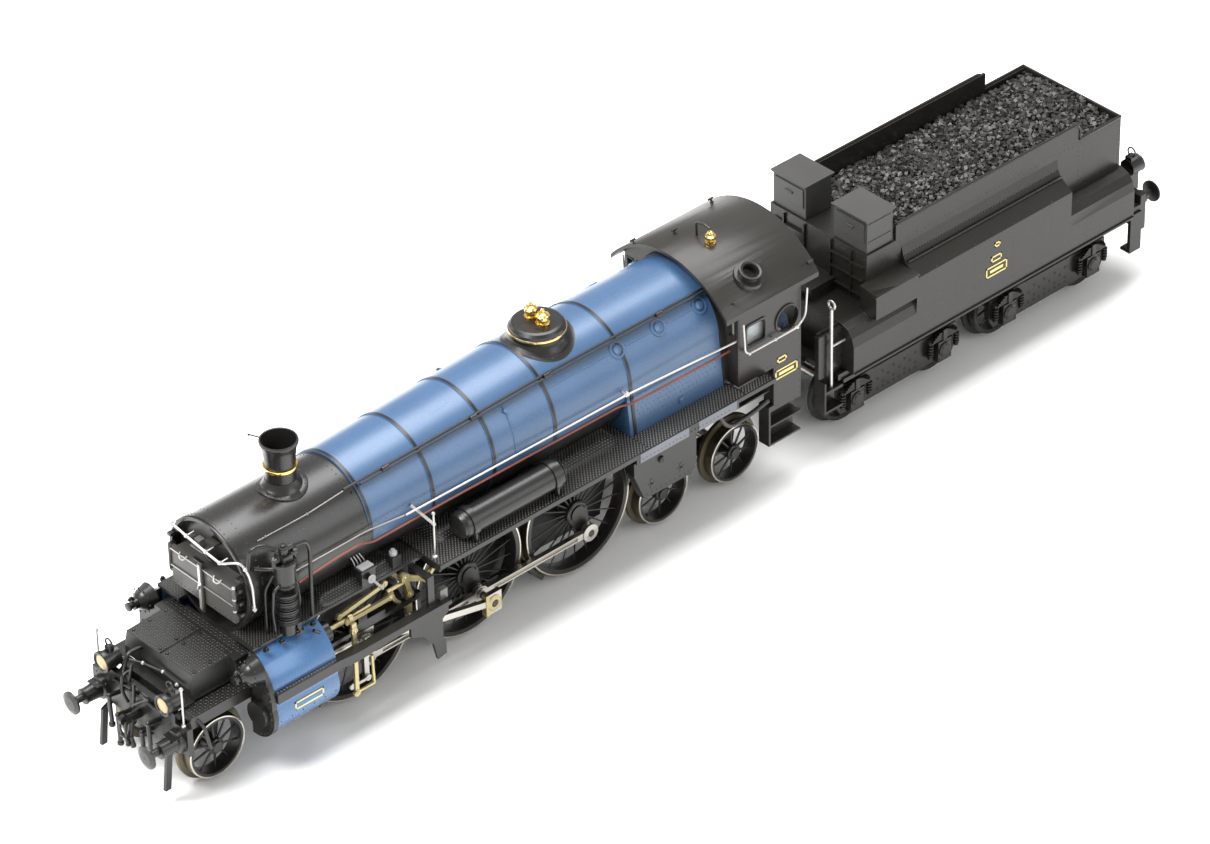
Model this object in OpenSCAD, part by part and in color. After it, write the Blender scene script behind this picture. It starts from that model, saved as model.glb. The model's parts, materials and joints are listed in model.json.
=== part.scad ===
// H0-scale express steam locomotive with a four-axle tender, wheel arrangement 2-6-4.
// Stations run along X from the front buffer faces towards the tender.
// Heights are measured from the top of the rail; the model rests on its wheel flanges at z = 0.
// The origin is at mid-length, on the track centre line, at the foot of the flanges.

/* [Overall] */
// Length over the buffer faces
length_over_buffers = 245; // [242:0.5:250]
// Depth of the wheel flanges below the rail top
flange_depth = 1.0; // [0.6:0.1:1]
// Height of the buffer axes
buffer_height = 12; // [11.5:0.1:12.5]
// Distance of each buffer axis from the centre line
buffer_offset = 10.05; // [9.5:0.05:10.5]

/* [Wheels] */
// Tread diameter of the driving wheels
driver_d = 24.3; // [23.6:0.1:24.4]
// Tread diameter of the carrying wheels
carrying_d = 11.9; // [11.5:0.1:12]
// Number of spokes in a driving wheel
driver_spokes = 22; // [12:1:24]
// Number of spokes in a carrying wheel
carrying_spokes = 10; // [8:1:12]
// Distance between the backs of the two wheels on an axle
back_to_back = 14.3; // [14.2:0.1:14.5]
// Width of a wheel rim
rim_width = 2.8; // [2.6:0.1:2.8]
// Radius at which the rods turn on the driving wheels
crank_throw = 4.1; // [3.8:0.1:4.2]
// Angle of the left crank below the horizontal, towards the rear
crank_angle = 72; // [65:1:80]

/* [Stations] */
// Leading axle
leading_axle = 15.2; // [15:0.1:15.4]
// First driving axle
first_driver = 46.2; // [46:0.1:46.4]
// Distance between driving axles
driver_pitch = 25.5; // [25.5:0.1:25.7]
// Trailing axles
trailing_axles = [117.6, 135.25];
// Middle of each tender bogie
tender_bogies = [174.1, 213.9];
// Wheelbase of a tender bogie
bogie_wheelbase = 22.6; // [22:0.1:23]
// Chimney axis
chimney_x = 40; // [39.5:0.1:40.5]
// Dome axis
dome_x = 97.8; // [97:0.1:98.5]
// Front and rear of the cab side
cab_x = [131.7, 147.2];
// Front and rear of the tender tank
tank_x = [158.6, 232.4];

/* [Boiler] */
// Height of the smokebox axis
boiler_axis = 32.4; // [32.3:0.1:32.6]
// Smokebox radius
smokebox_r = 10.4; // [10.3:0.1:10.6]
// Height of the boiler's level underside
boiler_bottom = 22.5; // [22.4:0.1:22.6]
// Boiler radius behind the smokebox
boiler_front_r = 10.3; // [10.2:0.1:10.4]
// Boiler radius under the dome and at the cab
boiler_rear_r = 11.3; // [11.2:0.1:11.4]

/* [Widths and heights] */
// Top of the side running boards
board_z = 24.4; // [24.2:0.1:24.6]
// Outer edge of the side running boards
board_y = 17.2; // [17:0.1:17.4]
// Outer face of the cab sides
cab_y = 14.6; // [14.4:0.1:14.8]
// Outer radius of the curved cab roof
roof_r = 19.1; // [19:0.1:19.3]
// Outer face of the tender sides
tank_y = 16.5; // [16.2:0.1:16.6]

/* [Hidden] */
$fn = 48;

black = "#26272a";
dull_black = "#303133";
boiler_blue = "#5f87b5";
brass = "#b9a25a";
bright_brass = "#d9b23a";
silver = "#d6d6d4";
lamp_glass = "#f3e3b4";
window_glass = "#cfd8da";
coal_black = "#1b1b1d";
board_green = "#2c6b45";

running_gap = 0.05;
wheel_in = back_to_back / 2;
wheel_out = wheel_in + rim_width;
driver_r = driver_d / 2;
carrying_r = carrying_d / 2;
driver_axle_r = 1.5;
carrying_axle_r = 1;
journal_r = 0.5;
crank_pin_r = 0.7;
drivers = [first_driver, first_driver + driver_pitch, first_driver + 2 * driver_pitch];
main_axle = drivers[1];
last_driver = drivers[2];

// The rods run in two layers outside the wheels
coupling_layer = [10.6, 11.7];
crosshead_layer = [12.3, 13.5];
main_layer = [14, 15];
crosshead_x = 45;
cylinder_axis_y = 12.9;
cylinder_axis_z = 14.8;
piston_rod_r = 0.6;

frame_in = 4.6;
frame_out = 6;
frame_top = 19;
frame_low = 6.6;
frame_raised = 14.2;
keeper_z = 5.4;
pony_pivot = 30.5;
trailing_pivot = (trailing_axles[0] + trailing_axles[1]) / 2;
drawbar_pins = [144.5, 155];
drawbar_z = 9;
pivot_pin_r = 1;
bogie_pin_r = 1.4;
tender_floor = [13.6, 14.8];
roof_axis = 28.1;
roof_eave = 39;
smokebox_x = [23.6, 50];
boiler_x = [50.3, 91.4, cab_x[0]];
barrel_axis = boiler_bottom + boiler_rear_r;
firebox_x = 107.9;
boiler_band_x = [50.4, 64, 77.6, 91.4, 109];
gear_r = 5.2;
worm_r = 1.5;
shaft_z = driver_r + gear_r + worm_r + 0.3;
screw_bore_r = 0.8;

// ---- Placing helpers -----------------------------------------------------------------------

// Moves children to a station, an offset and a height above the rail
module at(x, y = 0, z = 0) {
    translate([x - length_over_buffers / 2, y, z + flange_depth]) children();
}

module block(x, y, z) {
    at(x[0], y[0], z[0]) cube([x[1] - x[0], y[1] - y[0], z[1] - z[0]]);
}

module bar_x(x, y, z, r, r2 = -1) {
    at(x[0], y, z) rotate([0, 90, 0]) cylinder(h = x[1] - x[0], r1 = r, r2 = r2 < 0 ? r : r2);
}

module bar_y(x, y, z, r) {
    at(x, y[0], z) rotate([-90, 0, 0]) cylinder(h = y[1] - y[0], r = r);
}

module bar_z(x, y, z, r, r2 = -1) {
    at(x, y, z[0]) cylinder(h = z[1] - z[0], r1 = r, r2 = r2 < 0 ? r : r2);
}

// Round bar between two points
module rod(a, b, r) {
    run = b - a;
    at(a[0], a[1], a[2])
        rotate([0, acos(run[2] / norm(run)), atan2(run[1], run[0])])
            cylinder(h = norm(run), r = r);
}

// Round bar through a list of points, with ball joints a little fatter than the bar
module pipe(points, r) {
    for (i = [0 : len(points) - 2]) rod(points[i], points[i + 1], r);
    for (i = [1 : len(points) - 2]) at(points[i][0], points[i][1], points[i][2]) sphere(r * 1.25);
}

module both_sides() {
    children();
    mirror([0, 1, 0]) children();
}

// Side view outline (station, height), thickened across
module side_plate(outline, y) {
    at(0, y[1], 0) rotate([90, 0, 0]) linear_extrude(y[1] - y[0]) polygon(outline);
}

// Front view outline (offset, height), drawn out along the model
module section(outline, x) {
    at(x[0], 0, 0) rotate([90, 0, 90]) linear_extrude(x[1] - x[0]) polygon(outline);
}

// Plan view outline (station, offset), thickened upwards
module deck(outline, z) {
    at(0, 0, z[0]) linear_extrude(z[1] - z[0]) polygon(outline);
}

// Flat bar with round ends between two points of the side view
module link(a, b, y, end_r, bar_h) {
    run = b - a;
    bar_y(a[0], y, a[1], end_r);
    bar_y(b[0], y, b[1], end_r);
    at(a[0], y[0], a[1]) rotate([0, -atan2(run[1], run[0]), 0])
        translate([0, 0, -bar_h / 2]) cube([norm(run), y[1] - y[0], bar_h]);
}

// ---- Wheels ---------------------------------------------------------------------------------

// Crank pin position of a side: the right side leads the left by a quarter turn
function crank_offset(side) = let (a = side < 0 ? -crank_angle : 90 - crank_angle)
    [crank_throw * cos(a), crank_throw * sin(a)];

module tyre(x, r, rim, flange) {
    difference() {
        union() {
            bar_y(x, [wheel_in, wheel_in + 0.8], r, r + flange);
            bar_y(x, [wheel_in, wheel_out], r, r);
        }
        bar_y(x, [wheel_in - 1, wheel_out + 1], r, r - rim);
    }
}

module wheel(x, r, rim, spokes, hub_r, spoke_w, flange = flange_depth) {
    spoke_y = [wheel_in + 1.1, wheel_out - 0.9];
    tyre(x, r, rim, flange);
    bar_y(x, [wheel_in, wheel_out], r, hub_r);
    for (i = [0 : spokes - 1]) at(x, spoke_y[0], r) rotate([0, 360 * i / spokes, 0])
        translate([-spoke_w / 2, 0, hub_r - 0.3])
            cube([spoke_w, spoke_y[1] - spoke_y[0], r - rim - hub_r + 0.6]);
}

module carrying_wheelset(x, axle_end = 0, axle_r = carrying_axle_r) {
    reach = axle_end > 0 ? axle_end : wheel_out + 0.2;
    bar_y(x, [-wheel_out, wheel_out], carrying_r, carrying_axle_r);
    bar_y(x, [-reach, reach], carrying_r, axle_r);
    both_sides() wheel(x, carrying_r, 0.9, carrying_spokes, 1.7, 0.42);
}

// Crank boss, counterweight and crank pin of one side
module crank(x, side, pin_end) {
    pin = crank_offset(side);
    y = side < 0 ? [-pin_end, -wheel_out] : [wheel_out, pin_end];
    boss = side < 0 ? [-wheel_out - 0.2, -wheel_in - 0.9] : [wheel_in + 0.9, wheel_out + 0.2];
    bar_y(x + pin[0], boss, driver_r + pin[1], 1.6);
    link([x, driver_r], [x + pin[0], driver_r + pin[1]], boss, 1.6, 2.4);
    bar_y(x + pin[0], y, driver_r + pin[1], crank_pin_r);
    weight = side < 0 ? [-wheel_out + 0.6, -wheel_in - 0.8] : [wheel_in + 0.8, wheel_out - 0.6];
    intersection() {
        bar_y(x, weight, driver_r, driver_r - 1);
        at(x, weight[0], driver_r) rotate([0, -atan2(pin[1], pin[0]), 0])
            translate([-driver_r, 0, -4.5]) cube([4, weight[1] - weight[0], 9]);
    }
}

module driving_wheelset(x, pin_end, flange = flange_depth) {
    bar_y(x, [-wheel_out, wheel_out], driver_r, driver_axle_r);
    both_sides() wheel(x, driver_r, 1.35, driver_spokes, 2.5, 0.34, flange);
    for (side = [-1, 1]) crank(x, side, pin_end);
}

module leading_wheels() { color(black) carrying_wheelset(leading_axle); }
module trailing_wheels_1() { color(black) carrying_wheelset(trailing_axles[0]); }
module trailing_wheels_2() { color(black) carrying_wheelset(trailing_axles[1]); }
module driving_wheels_1() { color(black) driving_wheelset(drivers[0], coupling_layer[1] + 0.3); }
// The middle driving wheels have no flanges, so that the model takes tight curves
module driving_wheels_2() { color(black) driving_wheelset(drivers[1], main_layer[1] + 0.3, 0); }
module driving_wheels_3() {
    color(black) {
        driving_wheelset(drivers[2], coupling_layer[1] + 0.3);
        bar_y(last_driver, [-1, 1], driver_r, gear_r);
    }
}

module tender_wheelset(number) {
    bogie = tender_bogies[number < 2 ? 0 : 1];
    side = number % 2 == 0 ? -1 : 1;
    color(black) carrying_wheelset(bogie + side * bogie_wheelbase / 2, 12.2, journal_r);
}
module tender_wheels_1() { tender_wheelset(0); }
module tender_wheels_2() { tender_wheelset(1); }
module tender_wheels_3() { tender_wheelset(2); }
module tender_wheels_4() { tender_wheelset(3); }

// ---- Rods -----------------------------------------------------------------------------------

module across(side, layer) {
    if (side < 0) mirror([0, 1, 0]) children();
    else children();
}

// One rod joins the crank pins of all three driving wheels on a side
module coupling_rod(side) {
    pin = crank_offset(side);
    z = driver_r + pin[1];
    color(silver) across(side) difference() {
        union() {
            for (x = drivers) bar_y(x + pin[0], coupling_layer, z, 1.6);
            block([drivers[0] + pin[0], drivers[2] + pin[0]], coupling_layer, [z - 0.65, z + 0.65]);
        }
        for (x = drivers)
            bar_y(x + pin[0], coupling_layer + [-1, 1], z, crank_pin_r + running_gap);
        for (i = [0, 1])
            block([drivers[i] + pin[0] + 3, drivers[i + 1] + pin[0] - 3],
                  [coupling_layer[1] - 0.35, coupling_layer[1] + 1], [z - 0.3, z + 0.3]);
    }
}

// Big end on the middle crank pin, small end in line with the crosshead
module main_rod(side) {
    pin = crank_offset(side);
    big_end = [main_axle + pin[0], driver_r + pin[1]];
    small_end = [crosshead_x + (side < 0 ? 0 : pin[0] - crank_offset(-1)[0]), cylinder_axis_z];
    color(silver) across(side) difference() {
        union() {
            link(small_end, big_end, main_layer, 1.2, 1.2);
            block([big_end[0] - 1.7, big_end[0] + 1.7], main_layer,
                  [big_end[1] - 2.1, big_end[1] + 2.1]);
        }
        bar_y(big_end[0], main_layer + [-1, 1], big_end[1], crank_pin_r + running_gap);
    }
}

module crosshead(side) {
    pin = crank_offset(side);
    x = crosshead_x + (side < 0 ? 0 : pin[0] - crank_offset(-1)[0]);
    arm_x = x + 0.3;
    y = crosshead_layer;
    color(silver) across(side) {
        bar_x([x - 16.6, x], cylinder_axis_y, cylinder_axis_z, piston_rod_r);
        block([x - 2.2, x + 2.2], y, [cylinder_axis_z - 1.4, cylinder_axis_z + 1.6]);
        bar_y(x, [y[1], main_layer[0] - 0.15], cylinder_axis_z, 0.7);
        block([arm_x - 0.5, arm_x + 0.5], [y[0] + 0.4, y[1]], [6.4, cylinder_axis_z - 1.4]);
        link([arm_x - 3.6, 6.4], [arm_x, 6.4], [y[1], y[1] + 0.4], 0.6, 0.6);
    }
}

module coupling_rod_left() { coupling_rod(-1); }
module coupling_rod_right() { coupling_rod(1); }
module main_rod_left() { main_rod(-1); }
module main_rod_right() { main_rod(1); }
module crosshead_left() { crosshead(-1); }
module crosshead_right() { crosshead(1); }

// ---- Locomotive frame and front -------------------------------------------------------------

module loco_frame() {
    plate = [[8.4, frame_raised], [28, frame_raised], [30, frame_low], [106, frame_low],
             [108, frame_raised], [148, frame_raised], [148, frame_top - 1.6],
             [127, frame_top - 1.6], [125, frame_top], [24, frame_top], [22, 17], [8.4, 17]];
    color(black) difference() {
        union() {
            both_sides() side_plate(plate, [frame_in, frame_out]);
            for (x = [[28, 33], [56, 62], [82, 87], [106.5, 110], [123.5, 129.5], [140, 148]])
                block(x, [-frame_in, frame_in],
                      [frame_raised, x[0] > 100 ? frame_top - 1.6 - (x[0] < 110 ? 3 : 0) : frame_top]);
            block([56, 62], [-frame_in, frame_in], [frame_low, frame_raised]);
            block([82, 87], [-frame_in, frame_in], [frame_low, frame_raised]);
            block([32, 106], [-frame_out, frame_out], [keeper_z, frame_low]);
            bar_z(pony_pivot, 0, [6.2, frame_raised], pivot_pin_r);
            bar_z(trailing_pivot, 0, [6.2, frame_raised], pivot_pin_r);
            bar_z(drawbar_pins[0], 0, [drawbar_z - 1, frame_raised], pivot_pin_r);
            block([9.4, 12], [-frame_in, frame_in], [frame_raised, 17]);
        }
        for (x = drivers)
            bar_y(x, [-frame_out - 1, frame_out + 1], driver_r, driver_axle_r + running_gap);
        bar_z((drivers[0] + drivers[1]) / 2, 0, [keeper_z - 1, frame_top + 1], screw_bore_r);
        block([last_driver - 6, last_driver + 5], [-1.4, 1.4], [keeper_z - 1, frame_low + 1]);
        bar_y(last_driver, [-1.4, 1.4], driver_r, gear_r + 0.4);
    }
}

module front_beam() {
    color(black) {
        block([7.2, 8.4], [-12.6, 12.6], [9.6, 15.2]);
        block([9.3, 11.5], [-9.5, 9.5], [17, 17.5]);
        block([7.2, 8.4], [-9.5, 9.5], [15.2, 17]);
        both_sides() {
            side_plate([[4.6, 1.6], [5.8, 1.6], [6.6, 8.4], [8.4, 9.6], [7.2, 9.6], [5.5, 8.8]],
                       [8.2, 8.9]);
            block([8.4, 21.2], [9, 12.3], [16.2, 16.9]);
            block([8.4, 21.2], [11.9, 12.3], [14.6, 16.2]);
        }
    }
}

// Buffer with its face at one station and its housing ending at the beam
module buffer(face, beam, y) {
    side = beam > face ? 1 : -1;
    reach = abs(beam - face);
    at(face, y, buffer_height) rotate([0, 90 * side, 0]) rotate_extrude()
        polygon([[0, 0], [1.3, 0.05], [2.15, 0.35], [2.15, 0.7], [0.7, 1], [0.7, 0.42 * reach],
                 [1.35, 0.42 * reach], [1.55, 0.85 * reach], [2.1, 0.88 * reach], [2.1, reach],
                 [0, reach]]);
}

module front_buffers() {
    color(black) for (side = [-1, 1]) buffer(0, 7.2, side * buffer_offset);
}

module hose(x, y, top, drop) {
    pipe([[x, y, top], [x - 2.4, y, top + 0.4], [x - 2.2, y, top - drop]], 0.4);
}

module front_hoses() {
    color(black) {
        block([3.9, 7.2], [-0.4, 0.4], [11.4, 12.6]);
        bar_y(3.6, [-0.4, 0.4], 12.6, 0.9);
        pipe([[5.4, 0, 11.8], [4.7, 0, 8.4], [5.2, 0, 6]], 0.5);
        for (y = [-5.2, -3.2, 3.2, 5.2]) hose(7.2, y, abs(y) > 4 ? 13.6 : 10.6, 6);
    }
}

module headlamp(y) {
    z = 18.8;
    bar_x([6.5, 9.2], y, z, 1.75);
    bar_x([6, 6.5], y, z, 1.95);
    block([7.2, 8.8], [y - 0.8, y + 0.8], [17, 17.6]);
    bar_z(7.8, y, [z + 1.5, z + 2.4], 0.8);
    at(7.8, y, z + 3.1) rotate([90, 0, 90]) rotate_extrude() translate([0.85, 0]) circle(0.17);
}

module headlamps() {
    color(black) difference() {
        for (y = [-8.1, 8.1]) headlamp(y);
        for (y = [-8.1, 8.1]) bar_x([5.5, 6.6], y, 18.8, 1.5);
    }
}

module headlamp_lenses() {
    color(lamp_glass) for (y = [-8.1, 8.1]) bar_x([6.05, 6.6], y, 18.8, 1.5);
}

module front_cover() {
    color(black) difference() {
        union() {
            side_plate([[11.5, 17.5], [11.5, 19.2], [12.1, 21.9], [21.1, 22.3], [23.6, 22.3],
                        [23.6, 19.05], [21.8, 19.05], [21.4, 17.5]], [-8.8, 8.8]);
            side_plate([[19.6, 17.5], [21.4, 17.5], [21.8, 19.05], [23.6, 19.05], [23.6, 22.3],
                        [19.6, 22.3]], [-10.6, 10.6]);
        }
        side_plate([[12.3, 17], [12.3, 19.2], [12.8, 21.2], [21, 21.6], [22.8, 21.6], [22.8, 19],
                    [21, 17]], [-8.1, 8.1]);
    }
}

// ---- Smokebox and boiler --------------------------------------------------------------------

// Room for the tops of the driving wheels
module wheel_wells() {
    both_sides() for (x = drivers)
        bar_y(x, [wheel_in - 0.45, wheel_out + 0.45], driver_r, driver_r + flange_depth + 0.5);
}

module smokebox() {
    color(black) difference() {
        union() {
            bar_x(smokebox_x, 0, boiler_axis, smokebox_r);
            bar_x([smokebox_x[0] + 0.4, smokebox_x[0] + 1.6], 0, boiler_axis, smokebox_r + 0.15);
            block([26, 46], [-6, 6], [frame_top, 24]);
        }
        bar_x([smokebox_x[0] - 1, smokebox_x[0] + 2], 0, boiler_axis, smokebox_r - 0.6);
        bar_x([smokebox_x[0] + 3, smokebox_x[1] + 1], 0, boiler_axis, smokebox_r - 1.1);
        bar_z(chimney_x, 0, [boiler_axis + 5, boiler_axis + 12], 2);
        wheel_wells();
    }
}

module smokebox_door() {
    wing_top = 34.7;
    wing_low = 27.2;
    plate_x = 22.2;
    color(black) {
        block([plate_x, plate_x + 0.8], [-8.2, 8.2], [wing_low, wing_top]);
        intersection() {
            block([plate_x + 0.8, smokebox_x[0] + 2], [-7.8, 7.8], [wing_low + 0.3, wing_top - 0.3]);
            bar_x([plate_x, smokebox_x[0] + 2], 0, boiler_axis, smokebox_r - 0.65);
        }
        for (z = [30.7, 34.1]) block([plate_x - 0.15, plate_x], [-8.2, 8.2], [z, z + 0.35]);
        block([plate_x - 0.5, plate_x - 0.15], [-0.45, 0.45], [25.6, 35.6]);
        both_sides() bar_z(plate_x - 0.1, 8.4, [30, 34.8], 0.3);
        block([plate_x - 0.8, plate_x + 1], [-1.6, 1.6], [38.6, 38.9]);
        block([plate_x - 0.6, plate_x + 0.6], [-0.7, 0.7], [38.9, 40.6]);
        block([plate_x + 0.6, smokebox_x[0] + 1.9], [-1.2, 1.2], [38, 38.6]);
    }
}

module chimney() {
    base = boiler_axis + smokebox_r;
    color(black) difference() {
        at(chimney_x, 0, 0) rotate_extrude() polygon([
            [0, base - 2.6], [4.5, base - 2.6], [4.5, base - 0.7], [3.5, base + 0.3],
            [2.85, base + 0.9], [2.75, 46.3], [3, 46.4], [3, 47], [2.75, 47.1], [2.75, 48.6],
            [3.15, 51], [3.4, 51.2], [3.4, 51.9], [0, 51.9]]);
        bar_x(smokebox_x, 0, boiler_axis, smokebox_r);
        bar_z(chimney_x, 0, [base - 3, 53], 2.3);
        at(chimney_x, 0, 49) cylinder(h = 3, r1 = 2.3, r2 = 2.95);
    }
}

// Boiler radius at a station; the underside stays level while the top rises
function boiler_r(x) = boiler_front_r + (boiler_rear_r - boiler_front_r)
    * max(0, min(1, (x - boiler_x[0]) / (boiler_x[1] - boiler_x[0])));

// Front rings as a leaning cone, then a level barrel
module boiler_form() {
    run = boiler_x[1] - boiler_x[0];
    rise = boiler_rear_r - boiler_front_r;
    at(boiler_x[0], 0, boiler_bottom + boiler_front_r) rotate([0, 90 - atan2(rise, run), 0])
        cylinder(h = norm([run, rise]), r1 = boiler_front_r, r2 = boiler_rear_r);
    bar_x([boiler_x[1] - 0.3, boiler_x[2]], 0, barrel_axis, boiler_rear_r);
}

module boiler() {
    inner_r = 9.2;
    color(boiler_blue) difference() {
        union() {
            boiler_form();
            for (x = boiler_band_x)
                bar_x([x - 0.4, x + 0.4], 0, boiler_bottom + boiler_r(x), boiler_r(x) + 0.15);
        }
        bar_x([smokebox_x[1] - 1, boiler_x[2] - 1.5], 0, boiler_axis + 0.8, inner_r);
        block([firebox_x, boiler_x[2] + 1], [-15, 15], [15, barrel_axis]);
        block([90, boiler_x[2] - 1.5], [-5.6, 5.6], [15, boiler_axis]);
        wheel_wells();
    }
}

// Lower half of the firebox, widening down to the running boards
module firebox() {
    foot_y = 12.4;
    low = frame_top + 0.8;
    color(boiler_blue) difference() {
        section([[-foot_y, low], [-foot_y, board_z], [-boiler_rear_r, barrel_axis],
                 [boiler_rear_r, barrel_axis], [foot_y, board_z], [foot_y, low]],
                [firebox_x, boiler_x[2] - 0.3]);
        both_sides() block([100, 132], [11.4, 20], [15, board_z]);
        block([firebox_x + 0.8, boiler_x[2] - 1.5], [-10.4, 10.4], [15, barrel_axis + 1]);
        block([100, boiler_x[2] - 1.5], [-5.6, 5.6], [15, barrel_axis + 1]);
        wheel_wells();
    }
}

module dome() {
    base = barrel_axis + boiler_rear_r;
    color(black) difference() {
        at(dome_x, 0, 0) rotate_extrude() polygon([
            [0, base - 3.6], [5.6, base - 3.6], [5.6, base - 0.7], [5.2, base + 0.1],
            [5, base + 0.6], [5, base + 1.35], [5.15, base + 1.4], [5.15, base + 1.75],
            [5, base + 1.8], [4.9, base + 2.3], [4.5, base + 2.75], [4, base + 2.9],
            [0, base + 2.9]]);
        boiler_form();
    }
}

module safety_valves() {
    base = barrel_axis + boiler_rear_r + 2.9;
    color(bright_brass) both_sides() at(dome_x, 1.5, 0)
        rotate_extrude() polygon([
            [0, base], [1.25, base], [1.25, base + 0.35], [0.9, base + 0.45],
            [0.9, base + 1], [1.2, base + 1.2], [1.2, base + 1.8], [0.8, base + 2.1],
            [0.35, base + 2.3], [0.35, base + 2.8], [0, base + 2.9]]);
}

module running_boards() {
    narrow_y = 12.6;
    step_x = 59.4;
    rear_x = 138.6;
    board = [board_z - 0.6, board_z];
    outline = [[22, 6.8], [firebox_x - 0.1, 6.8], [firebox_x - 0.1, 11.45],
               [cab_x[0] - 0.3, 11.45], [cab_x[0] - 0.3, cab_y + 0.2], [rear_x, cab_y + 0.2],
               [rear_x, board_y], [step_x, board_y], [step_x, narrow_y], [22, narrow_y]];
    color(dull_black) difference() {
        both_sides() deck(outline, board);
        wheel_wells();
    }
    color(dull_black) both_sides() {
        block([step_x, rear_x], [board_y - 0.3, board_y], [board_z - 0.9, board_z - 0.6]);
        block([104.8, 129.4], [board_y - 0.3, board_y], [board_z - 2.1, board_z - 0.9]);
        block([step_x, step_x + 0.5], [9.4, board_y - 0.3], [board_z - 1.4, board_z - 0.6]);
    }
}

// ---- Cylinders and motion -------------------------------------------------------------------

// Jacket around the valve chest above and the cylinder below
module cylinder_form(x, grow) {
    intersection() {
        union() {
            bar_x(x, 8, 15, 9.3 + grow);
            bar_x(x, 12.4, 12.4, 5.2 + grow);
        }
        block(x, [11.9, 18.2], [6.9, 23.75]);
    }
}

module cylinders() {
    color(boiler_blue) both_sides() difference() {
        union() {
            cylinder_form([22.4, 36], 0);
            block([25, 32], [frame_out, 11.9], [frame_raised, frame_top - 0.6]);
        }
        bar_x([22.8, 37], cylinder_axis_y, cylinder_axis_z, piston_rod_r + running_gap);
        block([22, 37], [15.9, 19], [15.4, 17.45]);
    }
}

module cylinder_covers() {
    color(black) both_sides() {
        cylinder_form([21.4, 22.4], 0.3);
        bar_x([19.4, 21.4], 14, 21.4, 1.9, 2.5);
        bar_x([17.6, 19.4], 14, 21.4, 1);
        bar_x([16.4, 17.6], 14, 21.4, 0.5);
        bar_x([20.4, 21.4], 14.4, 12.4, 2.4);
        difference() {
            union() {
                bar_x([36, 37.2], cylinder_axis_y, cylinder_axis_z, 1.9);
                bar_x([36, 37.4], 13, 20.2, 1.9);
            }
            bar_x([35, 39], cylinder_axis_y, cylinder_axis_z, piston_rod_r + running_gap);
        }
    }
}

module valve_gear() {
    lever_x = 41.2;
    color(brass) both_sides() {
        bar_x([37.4, 42], 13, 20.2, 0.45);
        link([lever_x, 19.6], [lever_x, 6.4], [15.3, 15.8], 0.7, 0.8);
        bar_y(lever_x, [15.8, 16], 17, 0.4);
        block([lever_x - 0.5, lever_x + 0.5], [15.3, 15.8], [19.6, 21.2]);
        link([40.5, 21.4], [50.6, 23], [12.4, 13], 0.6, 0.8);
        link([41.6, 20.1], [51.2, 20.2], [13.1, 13.7], 0.6, 0.8);
        bar_y(51, [12.4, 13.1], 20.2, 0.5);
        link([54.7, 22.4], [55.6, 18.6], [12.2, 13.6], 0.7, 1);
        link([54.7, 22.4], [59.6, 19.8], [13, 13.6], 0.9, 1.1);
        bar_x([51, 56], 12.8, 21.1, 0.4);
    }
}

module motion_brackets() {
    strip = [[22.45, 17.4], [36, 17.4], [40, 17], [61, 17], [61, 16.5], [40, 16.5],
             [36, 16.9], [22.45, 16.9]];
    lip = [[22.45, 16.9], [36, 16.9], [40, 16.5], [61, 16.5], [61, 16.1], [40, 15.1],
           [36, 15.5], [22.45, 15.5]];
    arch = [[52.5, 16.3], [61, 16.3], [61, 14], [59.6, 13], [59.6, 9], [60.2, 8.4], [60.2, 5.4],
            [58.2, 5], [57.4, 8.6], [55, 11.6], [52.5, 12.6]];
    color(black) both_sides() {
        side_plate(strip, [16, 18]);
        side_plate(lip, [17.5, 18]);
        side_plate(arch, [16.4, 17]);
        block([37.2, 58], [12.3, 13.5], [16.55, 17.35]);
        block([56.6, 58], [12, 16.4], [22.5, 23.1]);
        block([56.6, 58], [12, 12.3], [17.35, board_z - 0.6]);
        block([56.6, 58], [12.3, 13.5], [17.35, 17.9]);
        block([56.6, 58], [16.4, 17], [17, 23.1]);
        block([42, 50], [12.1, 13.5], [17.35, 18.4]);
        block([44, 46], [12.1, 13.5], [18.4, 19.6]);
    }
}

// ---- Fittings on the locomotive -------------------------------------------------------------

module air_pump() {
    x = 29.4;
    y = -13;
    foot = board_z + 1.2;
    color(black) {
        bar_z(x, y, [board_z, foot + 1.4], 1.3);
        bar_z(x, y, [foot + 1.4, foot + 7.6], 1.7);
        for (i = [0 : 9]) bar_z(x, y, [foot + 1.5 + 0.62 * i, foot + 1.8 + 0.62 * i], 2.1);
        bar_z(x, y, [foot + 7.6, foot + 8.8], 1.1);
        bar_z(x, y, [foot + 8.8, foot + 13], 1.8);
        bar_z(x, y, [foot + 13, foot + 13.7], 2.1);
        block([x - 1, x + 1], [y - 1.2, y + 1.2], [foot + 13.7, foot + 15]);
        bar_x([x - 2.2, x + 2.6], y, foot + 14.4, 0.6);
        bar_z(x, y, [foot + 15, foot + 16.6], 0.8);
        bar_x([x, x + 1.8], y, foot + 15.8, 0.45);
        block([x - 1, x + 1], [y + 1, y + 2.9], [foot + 8.2, foot + 10.8]);
    }
}

module air_reservoirs() {
    r = 2.6;
    y = 13.9;
    z = board_z + r + 0.35;
    color(black) both_sides() {
        bar_x([67, 88.8], y, z, r);
        bar_x([66.4, 67], y, z, r - 0.5, r);
        bar_x([88.8, 89.4], y, z, r, r - 0.5);
        for (x = [68, 86.8]) {
            bar_x([x, x + 1], y, z, r + 0.2);
            block([x, x + 1], [y - 1.4, y + 1.4], [board_z, z]);
        }
    }
}

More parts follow.
